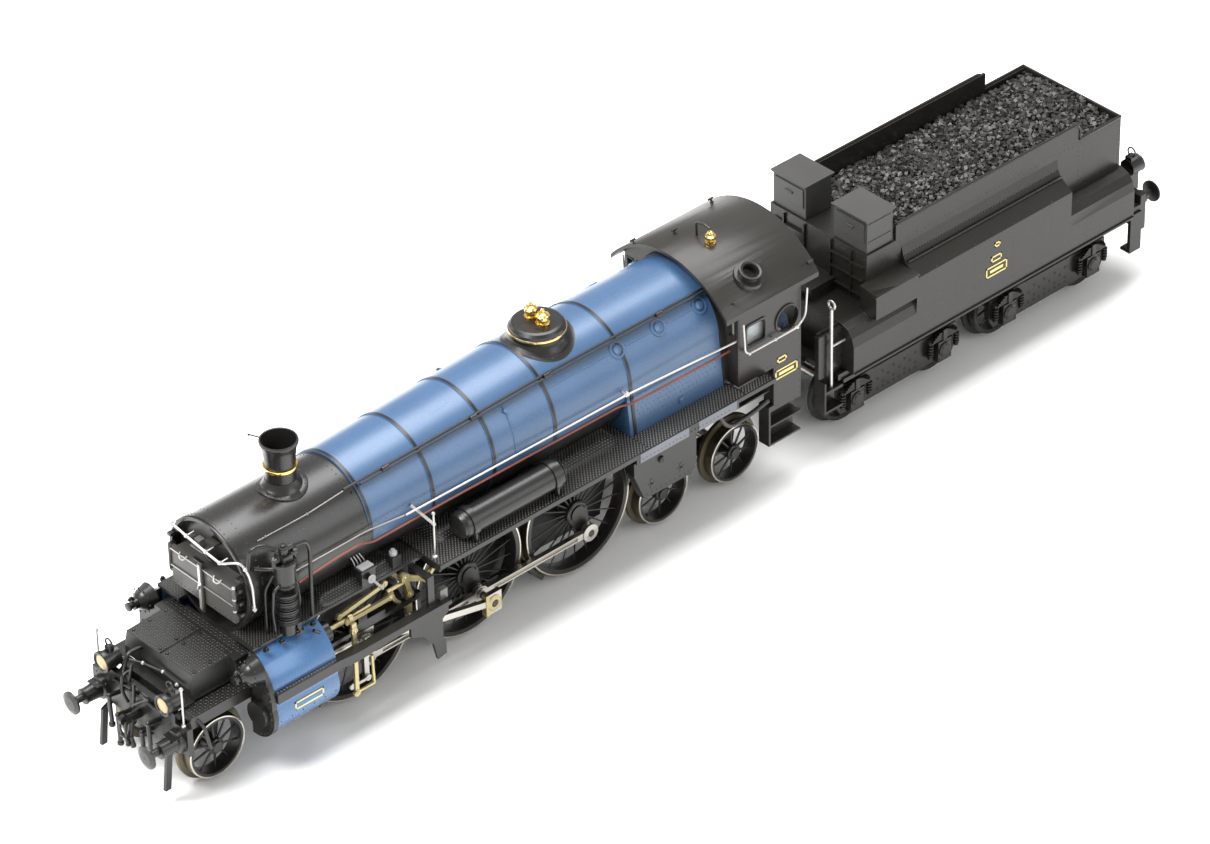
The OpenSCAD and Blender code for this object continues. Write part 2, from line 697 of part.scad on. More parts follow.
module lubricators() {
    color(dull_black) {
        block([46, 49], [-12.6, -10.5], [board_z, board_z + 2.9]);
        block([45.8, 49.2], [-12.8, -10.45], [board_z + 2.9, board_z + 3.3]);
        block([53, 54.8], [-12.4, -10.6], [board_z, board_z + 2.4]);
        bar_y(47.5, [-13.3, -12.6], board_z + 1.6, 0.6);
    }
}

module handrail_post(x, side, y, z) {
    rod([x, side * (boiler_r(x) - 0.6), z + 0.2], [x, side * y, z], 0.3);
    at(x, side * y, z) sphere(0.5);
}

module handrails() {
    rail_z = 34;
    rail_x = [56.4, 107, cab_x[0]];
    rail_y = [12, 12.5, 14.1];
    color(silver) {
        for (side = [-1, 1]) {
            for (k = [0, 1])
                rod([rail_x[k] + k * 0.2, side * rail_y[k], rail_z],
                    [rail_x[k + 1] - 0.2, side * rail_y[k + 1], rail_z], 0.3);
            handrail_post(rail_x[0] + 0.6, side, rail_y[0], rail_z);
            handrail_post(rail_x[1], side, rail_y[1], rail_z);
            rod([58.6, side * 11, rail_z - 0.6], [60.6, side * 14.5, 31.4], 0.35);
            bar_z(60.6, side * 14.5, [board_z, 33.4], 0.3);
            at(60.6, side * 14.5, 33.5) sphere(0.45);
            bar_z(7.7, side * 11.2, [15.2, 22.8], 0.22);
            at(7.7, side * 11.2, 23) sphere(0.4);
        }
        front_rail();
        cab_rails();
    }
}

// Rail over the smokebox front, coming down beside the pump
module front_rail() {
    top = [[21.1, 6.6, 41], [21.1, -7.9, 39.4], [24.3, -11, 36.6]];
    rod([23.9, 8.2, 36.6], top[0], 0.32);
    rod(top[0], top[1], 0.32);
    rod(top[1], top[2], 0.32);
    bar_z(top[2][0], top[2][1], [30, top[2][2]], 0.32);
    for (p = top) at(p[0], p[1], p[2]) sphere(0.5);
    bar_y(24.3, [-11, -9.8], 31, 0.28);
}

module cab_rails() {
    y = cab_y + 0.9;
    for (side = [-1, 1]) {
        pipe([[132.2, side * y, 38], [132.6, side * y, 32], [133.6, side * y, 31.2],
              [145.4, side * y, 31.2], [147.4, side * y, 32.8], [147.8, side * y, 38.4]], 0.28);
        for (x = [133.6, 140, 145.4]) rod([x, side * (cab_y - 0.2), 31.2], [x, side * y, 31.2], 0.25);
    }
}

module boiler_pipes() {
    color(black) {
        pipe([[47, -6.9, 41.2], [91.4, -7.85, 42.95], [131, -7.5, 43.3]], 0.3);
        pipe([[52, -7.5, 41], [91.4, -8.45, 42.45], [131, -8.2, 42.7]], 0.3);
        for (x = [56, 78, 100, 120])
            at(x, 0, boiler_bottom + boiler_r(x)) rotate([41.5, 0, 0])
                translate([0, 0, boiler_r(x) - 0.5]) cylinder(h = 1.4, r = 0.35);
        pipe([[25, -9.2, 39.4], [26.4, -11.6, 41.6], [28, -13, 40.1]], 0.4);
        pipe([[31.6, -13, 40], [33.6, -13, 40], [34, -12.6, 37], [34, -12.2, board_z]], 0.35);
        pipe([[27, -9.9, 33], [27, -12.6, 33.6]], 0.35);
    }
}

module ash_pan() {
    outer = 13.6;
    box = [[107.4, 19.4], [107.4, 16.5], [109.8, 10.6], [121, 10.6], [122.4, 12.4], [122.4, 19.4]];
    color(dull_black) both_sides() {
        side_plate(box, [11.6, outer]);
        block([108.4, 121.4], [11.6, 12.6], [19.4, board_z - 0.6]);
    }
}

// ---- Cab ------------------------------------------------------------------------------------

module cab_outline(inset) {
    intersection() {
        union() {
            translate([0, roof_axis]) circle(roof_r - 0.6 - inset);
            translate([-cab_y + inset, 16]) square([2 * (cab_y - inset), 20]);
        }
        translate([-cab_y + inset, 16]) square([2 * (cab_y - inset), 40]);
    }
}

module across_section(x) {
    at(x[0], 0, 0) rotate([90, 0, 90]) linear_extrude(x[1] - x[0]) children();
}

module cab_body() {
    wall = 0.7;
    floor_z = frame_top;
    color(dull_black) difference() {
        union() {
            across_section(cab_x) cab_outline(0);
            both_sides() {
                block([139.5, cab_x[1]], [12.6, cab_y], [15, 16.2]);
                block([139.2, cab_x[1]], [12, cab_y], [11.6, 12]);
                block([139.2, cab_x[1]], [12, cab_y], [7.6, 8]);
                block([139.2, 139.7], [12, cab_y], [7.6, 16]);
                block([139.2, cab_x[1]], [12, 12.5], [7.6, 16]);
            }
        }
        across_section([cab_x[0] + wall, cab_x[1] + 1]) difference() {
            cab_outline(wall);
            translate([-20, 0]) square([40, floor_z]);
        }
        block([cab_x[0] - 1, cab_x[1] + 1], [-12, 12], [7, floor_z - 0.8]);
        both_sides() block([cab_x[0] - 1, 140.4], [11, cab_y + 1], [16.2, board_z]);
        both_sides() block([cab_x[0] - 1, 139.2], [11, cab_y + 1], [10, board_z]);
        bar_x([cab_x[0] - 1, cab_x[0] + 2], 0, barrel_axis, boiler_rear_r - 2);
        both_sides() {
            bar_y(143.6, [cab_y - 2, cab_y + 1], 33.6, 2.6);
            block([133.6, 138.4], [cab_y - 2, cab_y + 1], [31.9, 36.4]);
            block([cab_x[0] - 1, cab_x[0] + 2], [12.4, 13.7], [34.5, 38.6]);
        }
    }
}

module cab_roof() {
    roof_x = [128.7, 151.2];
    color(dull_black) {
        difference() {
            intersection() {
                bar_x(roof_x, 0, roof_axis, roof_r);
                block(roof_x, [-14.9, 14.9], [roof_eave, 60]);
            }
            bar_x([roof_x[0] - 1, roof_x[1] + 1], 0, roof_axis, roof_r - 0.6);
        }
        difference() {
            union() {
                at(137.4, -10.4, 41.8) rotate([24, 0, 0]) cylinder(h = 2.7, r = 2.7);
                at(137.4, -10.4, 41.8) rotate([24, 0, 0]) cylinder(h = 4, r = 2.05);
            }
            at(137.4, -10.4, 41.8) rotate([24, 0, 0]) cylinder(h = 5, r = 1.55);
            bar_x([roof_x[0] - 1, roof_x[1] + 1], 0, roof_axis, roof_r - 0.6);
        }
    }
}

module cab_windows() {
    inside = cab_y - 1;
    color(window_glass) both_sides() {
        block([133, 139], [inside - 0.35, inside - 0.02], [31.4, 36.9]);
        block([cab_x[0] + 0.72, cab_x[0] + 1.05], [12.2, inside - 0.4], [34.2, 38.8]);
    }
}

module driver_figure() {
    x = 143.4;
    y = -10.6;
    color("#3b4656") {
        both_sides_of(y, 0.9) bar_z(x, 0, [frame_top, 26], 0.85);
        bar_z(x, y, [25.6, 31.6], 1.6, 2);
        at(x, y, 31.6) sphere(2);
        bar_z(x, y, [32.5, 34.4], 0.7);
        at(x, y, 35.4) sphere(1.4);
        rod([x - 1.2, y - 1.6, 31], [x - 1.4, y - 2.4, 27.4], 0.6);
    }
}

module both_sides_of(y, half) {
    for (step = [-half, half]) translate([0, y + step, 0]) children();
}

module whistle() {
    x = 136.6;
    y = -2.6;
    base = roof_axis + sqrt(roof_r * roof_r - y * y);
    color(bright_brass) difference() {
        at(x, y, 0) rotate_extrude() polygon([
            [0, base - 1], [1, base - 1], [1, base + 0.4], [0.55, base + 0.6],
            [0.55, base + 0.9], [1, base + 1.1], [1, base + 1.6], [0.6, base + 1.8],
            [0.6, base + 2.2], [0.35, base + 2.5], [0, base + 2.6]]);
        bar_x([x - 3, x + 3], 0, roof_axis, roof_r);
    }
}

// ---- Drive ----------------------------------------------------------------------------------

module motor() {
    color("#6d6f72") difference() {
        union() {
            block([104.6, 123], [-4.5, 4.5], [shaft_z - 4.6, shaft_z + 6]);
            bar_x([103.4, 104.6], 0, shaft_z, 2);
        }
        bar_x([102, 119], 0, shaft_z, 0.75 + running_gap);
    }
}

module motor_shaft() {
    color("#a9abad") {
        bar_x([91.6, 118.5], 0, shaft_z, 0.75);
        bar_x([93.4, 101], 0, shaft_z, worm_r);
    }
}

// ---- Carrying trucks ------------------------------------------------------------------------

module axle_holes(stations, half) {
    for (x = stations) bar_y(x, [-half, half], carrying_r, carrying_axle_r + running_gap);
}

module pony_truck() {
    color(black) difference() {
        union() {
            both_sides() side_plate([[12.6, 4.4], [17.8, 4.4], [18.6, 9.2], [11.8, 9.2]], [5.2, 6.5]);
            block([11.8, 13.2], [-5.2, 5.2], [7.6, 9.2]);
            block([17.4, 18.6], [-5.2, 5.2], [7.6, 9.2]);
            deck([[17.4, -3], [17.4, 3], [pony_pivot, 1.6], [pony_pivot, -1.6]], [7.6, 9.2]);
            bar_z(pony_pivot, 0, [7.6, 9.2], 2.2);
        }
        bar_z(pony_pivot, 0, [6, 11], pivot_pin_r + running_gap);
        axle_holes([leading_axle], 7);
    }
}

module trailing_bogie() {
    x0 = trailing_axles[0];
    x1 = trailing_axles[1];
    outline = [[x0 - 2.6, 4.2], [x0 + 2.6, 4.2], [x0 + 4, 6.6], [x1 - 4, 6.6], [x1 - 2.6, 4.2],
               [x1 + 2.6, 4.2], [x1 + 3.4, 9.2], [x0 - 3.4, 9.2]];
    color(black) difference() {
        union() {
            both_sides() side_plate(outline, [5.2, 6.5]);
            block([trailing_pivot - 3, trailing_pivot + 3], [-5.2, 5.2], [7.6, 9.2]);
            bar_z(trailing_pivot, 0, [7.6, 10], 2.4);
        }
        bar_z(trailing_pivot, 0, [6, 11], pivot_pin_r + running_gap);
        axle_holes(trailing_axles, 7);
    }
}

module drawbar() {
    color(black) difference() {
        union() {
            for (x = drawbar_pins) bar_z(x, 0, [drawbar_z, drawbar_z + 1.2], 2.2);
            block(drawbar_pins, [-1.3, 1.3], [drawbar_z, drawbar_z + 1.2]);
        }
        for (x = drawbar_pins)
            bar_z(x, 0, [drawbar_z - 1, drawbar_z + 3], pivot_pin_r + running_gap);
    }
}

module tender_bogie(number) {
    centre = tender_bogies[number];
    axles = [centre - bogie_wheelbase / 2, centre + bogie_wheelbase / 2];
    side_y = [10.9, 12.1];
    low = [[axles[0] - 3, 3.2], [axles[1] + 3, 3.2], [axles[1] + 4.2, 5.2],
           [axles[1] + 4.2, 9.6], [axles[0] - 4.2, 9.6], [axles[0] - 4.2, 5.2]];
    color(dull_black) difference() {
        union() {
            both_sides() {
                side_plate(low, side_y);
                for (x = axles) {
                    block([x - 1.7, x + 1.7], [12.1, 13.4], [3.6, 8]);
                    for (step = [-3, 3]) block([x + step - 0.6, x + step + 0.6], [12.1, 12.8], [5.2, 9]);
                }
            }
            block([centre - 3.4, centre + 3.4], [-10.9, 10.9], [7, 9.6]);
            bar_z(centre, 0, [9.6, 11], 3.2);
        }
        bar_z(centre, 0, [6, 12], bogie_pin_r + running_gap);
        for (x = axles) bar_y(x, [-12.4, 12.4], carrying_r, journal_r + running_gap);
    }
}
module tender_bogie_1() { tender_bogie(0); }
module tender_bogie_2() { tender_bogie(1); }

// ---- Tender ---------------------------------------------------------------------------------

module tender_frame() {
    beam = [236.4, 237.8];
    color(dull_black) difference() {
        union() {
            block([156.6, beam[0]], [-14.6, 14.6], tender_floor);
            both_sides() {
                block([tank_x[0] - 1, beam[0]], [14.2, 15], [12.8, 13.6]);
                block([152.8, 153.2], [12.4, 15], [8, 14.8]);
                block([152.8, 158.6], [12.4, 13.4], [14.8, 24]);
                block([152.8, 157.4], [12.4, 15], [12.2, 12.8]);
                block([152.8, 157.4], [12.4, 15], [8, 8.5]);
                block([152.8, 157.4], [12.4, 12.8], [8, 14.8]);
                block([beam[0] - 3, beam[0]], [12.6, 15], [5.2, 5.7]);
                block([beam[0] - 3, beam[0]], [14.3, 15], [5.2, 13.6]);
            }
            block(beam, [-14.6, 14.6], [9, 16.6]);
            bar_z(drawbar_pins[1], 0, [drawbar_z - 1, tender_floor[1]], pivot_pin_r);
            block([152.8, 157], [-6, 6], tender_floor);
            for (x = tender_bogies) bar_z(x, 0, [7.4, tender_floor[0]], bogie_pin_r);
        }
        bar_z((tender_bogies[0] + tender_bogies[1]) / 2, 0, [10, 20], screw_bore_r);
    }
}

tank_side = [[0, 14.8], [tank_y, 14.8], [tank_y, 20.6], [tank_y - 0.5, 22.4], [tank_y - 1.6, 23.8],
             [tank_y - 3.2, 24.4], [12.4, 24.5], [12.4, 35.2], [0, 35.2]];
locker_side = [[0, 14.8], [tank_y, 14.8], [tank_y, 28.2], [tank_y - 3, 30.2], [12.9, 31.4],
               [12.4, 33.4], [12.4, 38.6], [0, 38.6]];

module mirrored_section(outline, x) {
    section(outline, x);
    mirror([0, 1, 0]) section(outline, x);
}

module tender_body() {
    hopper_x = [173, 231.8];
    color(dull_black) difference() {
        union() {
            mirrored_section(tank_side, tank_x);
            mirrored_section(locker_side, [174.6, 215.2]);
            both_sides() {
                side_plate([[164.2, 24], [175, 24], [175, 28.8], [164.2, 29.4]], [12.4, tank_y]);
                block([215.2, 221.2], [11.8, 12.4], [35.2, 38.6]);
                block([173.1, 174.6], [11.8, 12.4], [35.2, 38.6]);
            }
        }
        difference() {
            block([tank_x[0] - 1, 165.8], [-12.4, 12.4], [24.5, 40]);
            block([tank_x[0] + 1, 166], [-4.5, 4.5], [24.5, 27]);
        }
        block(hopper_x, [-11.8, 11.8], [30, 40]);
        block([165, hopper_x[0] + 1], [-11, 11], [36.2, 40]);
        block([161, 230], [-14.6, 14.6], [14, 23]);
    }
}

// Heap of coal, highest along the middle
module coal_load() {
    heap = [[-11.75, 30.05], [11.75, 30.05], [11.75, 34.4], [6, 35.7], [-6, 35.7], [-11.75, 34.4]];
    color(coal_black) section(heap, [173.05, 231.75]);
}

module toolboxes() {
    color("#5c5d5f") both_sides() {
        block([166.2, 172.7], [3.6, 12], [35.2, 41.9]);
        block([165.9, 173], [3.4, 12.2], [41.9, 42.3]);
    }
}

module tender_rails() {
    x = 155.2;
    y = 14.2;
    color(silver) both_sides() {
        bar_z(x, y, [12.8, 29.8], 0.3);
        at(x, y, 30.6) rotate([90, 0, 90]) rotate_extrude() translate([0.8, 0]) circle(0.22);
        bar_x([x, tank_x[0]], y, 21.5, 0.2);
    }
}

module rear_fittings() {
    lamp_z = 19.8;
    color(black) {
        for (side = [-1, 1]) {
            buffer(length_over_buffers, 237.8, side * buffer_offset);
            bar_x([238, 240.8], side * 9.4, lamp_z, 1.7);
            block([237.8, 240], [side * 9.4 - 1.2, side * 9.4 + 1.2], [15, lamp_z]);
            block([238.2, 240], [side * 9.4 - 0.8, side * 9.4 + 0.8], [lamp_z, lamp_z + 2.3]);
            at(239.1, side * 9.4, lamp_z + 3.1) rotate([90, 0, 90]) rotate_extrude()
                translate([0.9, 0]) circle(0.17);
        }
        block([237.8, 241.4], [-0.4, 0.4], [11.4, 12.6]);
        for (y = [-4.6, 4.6])
            pipe([[237.8, y, 11.6], [239.6, y, 12], [240.2, y, 10], [239.8, y, 6]], 0.4);
    }
}

module circuit_board() {
    color(board_green) {
        block([176, 212], [-7.5, 7.5], [16.8, 17.8]);
        for (x = [180, 190, 202]) block([x, x + 5], [-3, 3], [17.8, 19]);
        both_sides() block([178, 179.5], [5, 6.5], [14.8, 16.8]);
        both_sides() block([208, 209.5], [5, 6.5], [14.8, 16.8]);
    }
}

loco_frame();
front_beam();
front_buffers();
front_hoses();
headlamps();
headlamp_lenses();
front_cover();
smokebox();
smokebox_door();
chimney();
boiler();
firebox();
dome();
safety_valves();
running_boards();
cylinders();
cylinder_covers();
valve_gear();
motion_brackets();
air_pump();
air_reservoirs();
lubricators();
handrails();
boiler_pipes();
ash_pan();
cab_body();
cab_roof();
cab_windows();
driver_figure();
whistle();
motor();
motor_shaft();
pony_truck();
leading_wheels();
driving_wheels_1();
driving_wheels_2();
driving_wheels_3();
coupling_rod_left();
coupling_rod_right();
main_rod_left();
main_rod_right();
crosshead_left();
crosshead_right();
trailing_bogie();
trailing_wheels_1();
trailing_wheels_2();
drawbar();
tender_frame();
tender_body();
coal_load();
toolboxes();
tender_rails();
rear_fittings();
circuit_board();
tender_bogie_1();
tender_bogie_2();
tender_wheels_1();
tender_wheels_2();
tender_wheels_3();
tender_wheels_4();
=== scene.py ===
"""Looks of an H0-scale express steam locomotive with its tender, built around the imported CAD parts."""

import json
import math
import random

import bpy
from mathutils import Matrix, Vector

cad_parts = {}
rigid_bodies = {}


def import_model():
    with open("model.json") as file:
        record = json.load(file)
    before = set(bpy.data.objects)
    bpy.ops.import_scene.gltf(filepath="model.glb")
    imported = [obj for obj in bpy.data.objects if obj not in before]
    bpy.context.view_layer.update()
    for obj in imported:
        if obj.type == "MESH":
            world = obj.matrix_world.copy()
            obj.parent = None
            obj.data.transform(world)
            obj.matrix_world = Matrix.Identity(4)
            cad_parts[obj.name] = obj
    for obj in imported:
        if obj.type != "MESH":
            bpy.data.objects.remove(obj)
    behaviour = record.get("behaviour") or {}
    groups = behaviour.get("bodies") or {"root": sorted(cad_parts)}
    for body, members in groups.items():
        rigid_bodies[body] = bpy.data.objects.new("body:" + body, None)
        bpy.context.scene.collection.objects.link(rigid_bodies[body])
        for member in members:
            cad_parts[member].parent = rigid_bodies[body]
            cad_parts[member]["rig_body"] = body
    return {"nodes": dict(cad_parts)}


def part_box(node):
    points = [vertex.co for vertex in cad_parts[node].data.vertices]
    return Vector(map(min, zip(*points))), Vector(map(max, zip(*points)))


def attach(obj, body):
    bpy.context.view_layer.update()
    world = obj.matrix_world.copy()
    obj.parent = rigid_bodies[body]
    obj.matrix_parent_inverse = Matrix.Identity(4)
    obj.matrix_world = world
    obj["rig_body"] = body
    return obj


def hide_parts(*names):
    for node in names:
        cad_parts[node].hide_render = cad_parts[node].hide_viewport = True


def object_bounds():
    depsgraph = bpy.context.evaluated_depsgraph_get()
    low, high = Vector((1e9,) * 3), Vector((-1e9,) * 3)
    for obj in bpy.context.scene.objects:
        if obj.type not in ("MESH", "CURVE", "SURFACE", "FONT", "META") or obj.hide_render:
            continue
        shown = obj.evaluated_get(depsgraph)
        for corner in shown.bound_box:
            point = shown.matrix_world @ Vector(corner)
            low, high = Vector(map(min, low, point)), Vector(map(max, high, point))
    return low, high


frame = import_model()
CAD_LOW, CAD_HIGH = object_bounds()

# ---- Measures --------------------------------------------------------------------------------
# Stations run back from the front buffer faces, heights up from the rail, both in millimetres.
MM = 0.001
FLANGE = 1.0
FRONT = CAD_LOW.x
RAIL = CAD_LOW.z + FLANGE * MM
UP = (0, 0, 1)
AHEAD = (-1, 0, 0)
BACK = (1, 0, 0)
OUT = (0, 1, 0)
SMOKEBOX_AXIS = 32.4
BOILER_BOTTOM = 22.5
BOILER_PROFILE = [(50.3, 10.3), (91.4, 11.3), (131.7, 11.3)]
FIREBOX_X = 107.9
FIREBOX_FOOT = 12.4
DRIVERS = [46.2, 71.7, 97.2]
BANDS = [50.4, 64, 77.6, 91.4, 109]
SMOKEBOX_R = 10.4
BOARD_Z = 24.4
BOARD_Y = 17.2
CAB_X = 131.7
BUFFER_Y = 10.05
BUFFER_Z = 12
WHEEL_IN = 7.15
WHEEL_OUT = 9.95
DRIVER_R = 12.15
CARRYING_R = 5.95
CAB_Y = 14.6
ROOF_AXIS = 28.1
ROOF_R = 19.1
TANK_Y = 16.5
BUNKER_Y = 12.4
HANDRAIL_Z = 34
COAL_ROWS = 88
COAL_COLUMNS = 37


def boiler_radius(x):
    """Radius of the boiler skin at a station."""
    for (x0, r0), (x1, r1) in zip(BOILER_PROFILE, BOILER_PROFILE[1:]):
        if x <= x1:
            return r0 + (r1 - r0) * max(0, x - x0) / (x1 - x0)
    return BOILER_PROFILE[-1][1]


def boiler_axis(x):
    """The underside is level, so the axis rises with the radius."""
    return BOILER_BOTTOM + boiler_radius(x)


def at(x, y, z):
    """Point in metres in the shared frame from a station, an offset and a height."""
    return Vector((FRONT + x * MM, y * MM, RAIL + z * MM))


def on_boiler(x, degrees, lift=0.0):
    """Point on the boiler skin; 0 degrees is the top, positive turns to the left side (-Y)."""
    a = math.radians(degrees)
    r = boiler_radius(x) + lift
    return (x, -r * math.sin(a), boiler_axis(x) + r * math.cos(a))


def station(node):
    """Middle of a CAD node as (station, offset, height) in millimetres."""
    low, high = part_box(node)
    return ((low + high) / 2 - Vector((FRONT, 0, RAIL))) / MM


# ---- Mesh building ---------------------------------------------------------------------------


def frame_of(direction):
    """Two unit vectors square to a direction."""
    d = direction.normalized()
    side = d.cross(Vector(UP))
    if side.length < 1e-4:
        side = d.cross(Vector(OUT))
    side.normalize()
    return side, side.cross(d).normalized()


class Shape:
    """Gathers faces in millimetres (station, offset, height)."""

    def __init__(self):
        self.verts = []
        self.faces = []

    def add(self, verts, faces):
        """Takes in vertices and the faces that index them."""
        base = len(self.verts)
        self.verts += [Vector(v) for v in verts]
        self.faces += [tuple(base + i for i in f) for f in faces]

    def rings(self, rings, close=False, caps=True):
        """Joins rings of equal length into a skin."""
        n = len(rings[0])
        faces = []
        count = len(rings)
        for k in range(count if close else count - 1):
            a, b = k * n, ((k + 1) % count) * n
            faces += [(a + i, a + (i + 1) % n, b + (i + 1) % n, b + i) for i in range(n)]
        if caps and not close:
            faces += [tuple(range(n))[::-1], tuple((count - 1) * n + i for i in range(n))]
        self.add([p for ring in rings for p in ring], faces)

    def block(self, x, y, z):
        """Box between pairs of stations, offsets and heights."""
        self.rings([[(a, y[0], z[0]), (a, y[1], z[0]), (a, y[1], z[1]), (a, y[0], z[1])] for a in x])

    def slab(self, outline, offset):
        """A closed outline of points moved by an offset to make a plate."""
        shift = Vector(offset)
        self.rings([[Vector(p) for p in outline], [Vector(p) + shift for p in outline]])

    def turned(self, centre, axis, profile, sides=32, ring=False):
        """Profile of (distance along axis, radius) turned about an axis."""
        centre, axis = Vector(centre), Vector(axis).normalized()
        u, v = frame_of(axis)
        rings = []
        for along, radius in profile:
            points = []
            for i in range(sides):
                a = math.radians(360 * i / sides)
                points.append(centre + axis * along + (u * math.cos(a) + v * math.sin(a)) * radius)
            rings.append(points)
        self.rings(rings, close=ring)

    def rod(self, a, b, r, r2=None, sides=12):
        """Straight round bar, tapered when a second radius is given."""
        a, b = Vector(a), Vector(b)
        length = (b - a).length
        self.turned(a, b - a, [(0, r), (length, r if r2 is None else r2)], sides)

    def pipe(self, points, r, bend=1.0, sides=10):
        """Round bar through points with rounded corners."""
        pts = [Vector(p) for p in points]
        line = [pts[0]]
        for before, corner, after in zip(pts, pts[1:], pts[2:]):
            d0, d1 = before - corner, after - corner
            cut = min(bend, d0.length / 2.1, d1.length / 2.1)
            p0, p2 = corner + d0.normalized() * cut, corner + d1.normalized() * cut
            for k in range(6):
                t = k / 5
                line.append(p0 * (1 - t) ** 2 + corner * 2 * t * (1 - t) + p2 * t * t)
        line.append(pts[-1])
        side, _ = frame_of(line[1] - line[0])
        rings = []
        for k, p in enumerate(line):
            run = (line[min(k + 1, len(line) - 1)] - line[max(k - 1, 0)]).normalized()
            side = (side - run * side.dot(run)).normalized()
            up = side.cross(run)
            rings.append([p + (side * math.cos(a) + up * math.sin(a)) * r
                          for a in (2 * math.pi * i / sides for i in range(sides))])
        self.rings(rings)

    def ball(self, c, r, sides=12, stretch=(1, 1, 1)):
        """Small ball, stretched along the axes when asked."""
        rings = []
        for k in range(1, 7):
            a = math.pi * k / 7
            rings.append([(c[0] + r * math.sin(a) * math.cos(2 * math.pi * i / sides) * stretch[0],
                           c[1] + r * math.sin(a) * math.sin(2 * math.pi * i / sides) * stretch[1],
                           c[2] - r * math.cos(a) * stretch[2]) for i in range(sides)])
        self.rings(rings)

    def rivet(self, p, normal, r=0.16, height=0.1):
        """Low six-sided rivet head that stands on a surface."""
        n = Vector(normal).normalized()
        u, v = frame_of(n)
        p = Vector(p)
        ring = [p + (u * math.cos(a) + v * math.sin(a)) * r - n * 0.02
                for a in (math.pi * i / 3 for i in range(6))]
        inner = [p + (q - p) * 0.6 + n * height * 0.8 for q in ring]
        self.rings([ring, inner, [p + (q - p) * 0.2 + n * height for q in ring]])

    def rivet_line(self, a, b, count, normal, r=0.16, height=0.1):
        """Rivets evenly from one point to another."""
        a, b = Vector(a), Vector(b)
        for i in range(count):
            self.rivet(a.lerp(b, i / max(1, count - 1)), normal, r, height)

    def rivet_ring(self, centre, normal, radius, count, r=0.16, height=0.1):
        """Rivets evenly round a circle that lies square to the normal."""
        u, v = frame_of(Vector(normal))
        for i in range(count):
            a = 2 * math.pi * i / count
            spoke = (u * math.cos(a) + v * math.sin(a)) * radius
            self.rivet(Vector(centre) + spoke, normal, r, height)

    def mirrored(self):
        """The same shape with its other-side copy."""
        n = len(self.verts)
        self.verts += [Vector((v.x, -v.y, v.z)) for v in self.verts]
        self.faces += [tuple(n + i for i in reversed(f)) for f in self.faces]
        return self


MATERIALS = {}


def piece(name, shape, material, near, sharp=38, stands_for=()):
    """Makes one Blender piece that rides with the CAD node it is fixed to."""
    mesh = bpy.data.meshes.new(name)
    points = [at(*v) for v in shape.verts]
    mesh.from_pydata([p[:] for p in points], [], shape.faces)
    mesh.validate()
    mesh.update()
    mesh.shade_smooth()
    mesh.set_sharp_from_angle(angle=math.radians(sharp))
    obj = bpy.data.objects.new(name, mesh)
    bpy.context.scene.collection.objects.link(obj)
    mesh.materials.append(MATERIALS[material])
    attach(obj, frame["nodes"][near]["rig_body"])
    if stands_for:
        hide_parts(*stands_for)
    return obj


# ---- Materials -------------------------------------------------------------------------------


def new_material(name):
    """Registers a node material and returns its nodes, links, shader and coordinates."""
    material = bpy.data.materials.new(name)
    material.use_nodes = True
    MATERIALS[name] = material
    nodes, links = material.node_tree.nodes, material.node_tree.links
    return nodes, links, nodes["Principled BSDF"], nodes.new("ShaderNodeTexCoord")


def noise(nodes, links, coords, scale, detail=3.0):
    """Noise texture in the piece's own coordinates."""
    n = nodes.new("ShaderNodeTexNoise")
    n.inputs["Scale"].default_value = scale
    n.inputs["Detail"].default_value = detail
    links.new(coords.outputs["Object"], n.inputs["Vector"])
    return n


def ramp(nodes, links, source, stops):
    """Colour ramp through (place, colour) stops."""
    r = nodes.new("ShaderNodeValToRGB")
    links.new(source, r.inputs["Fac"])
    while len(r.color_ramp.elements) < len(stops):
        r.color_ramp.elements.new(0.5)
    for element, (place, colour) in zip(r.color_ramp.elements, stops):
        element.position = place
        element.color = (*colour, 1)
    return r


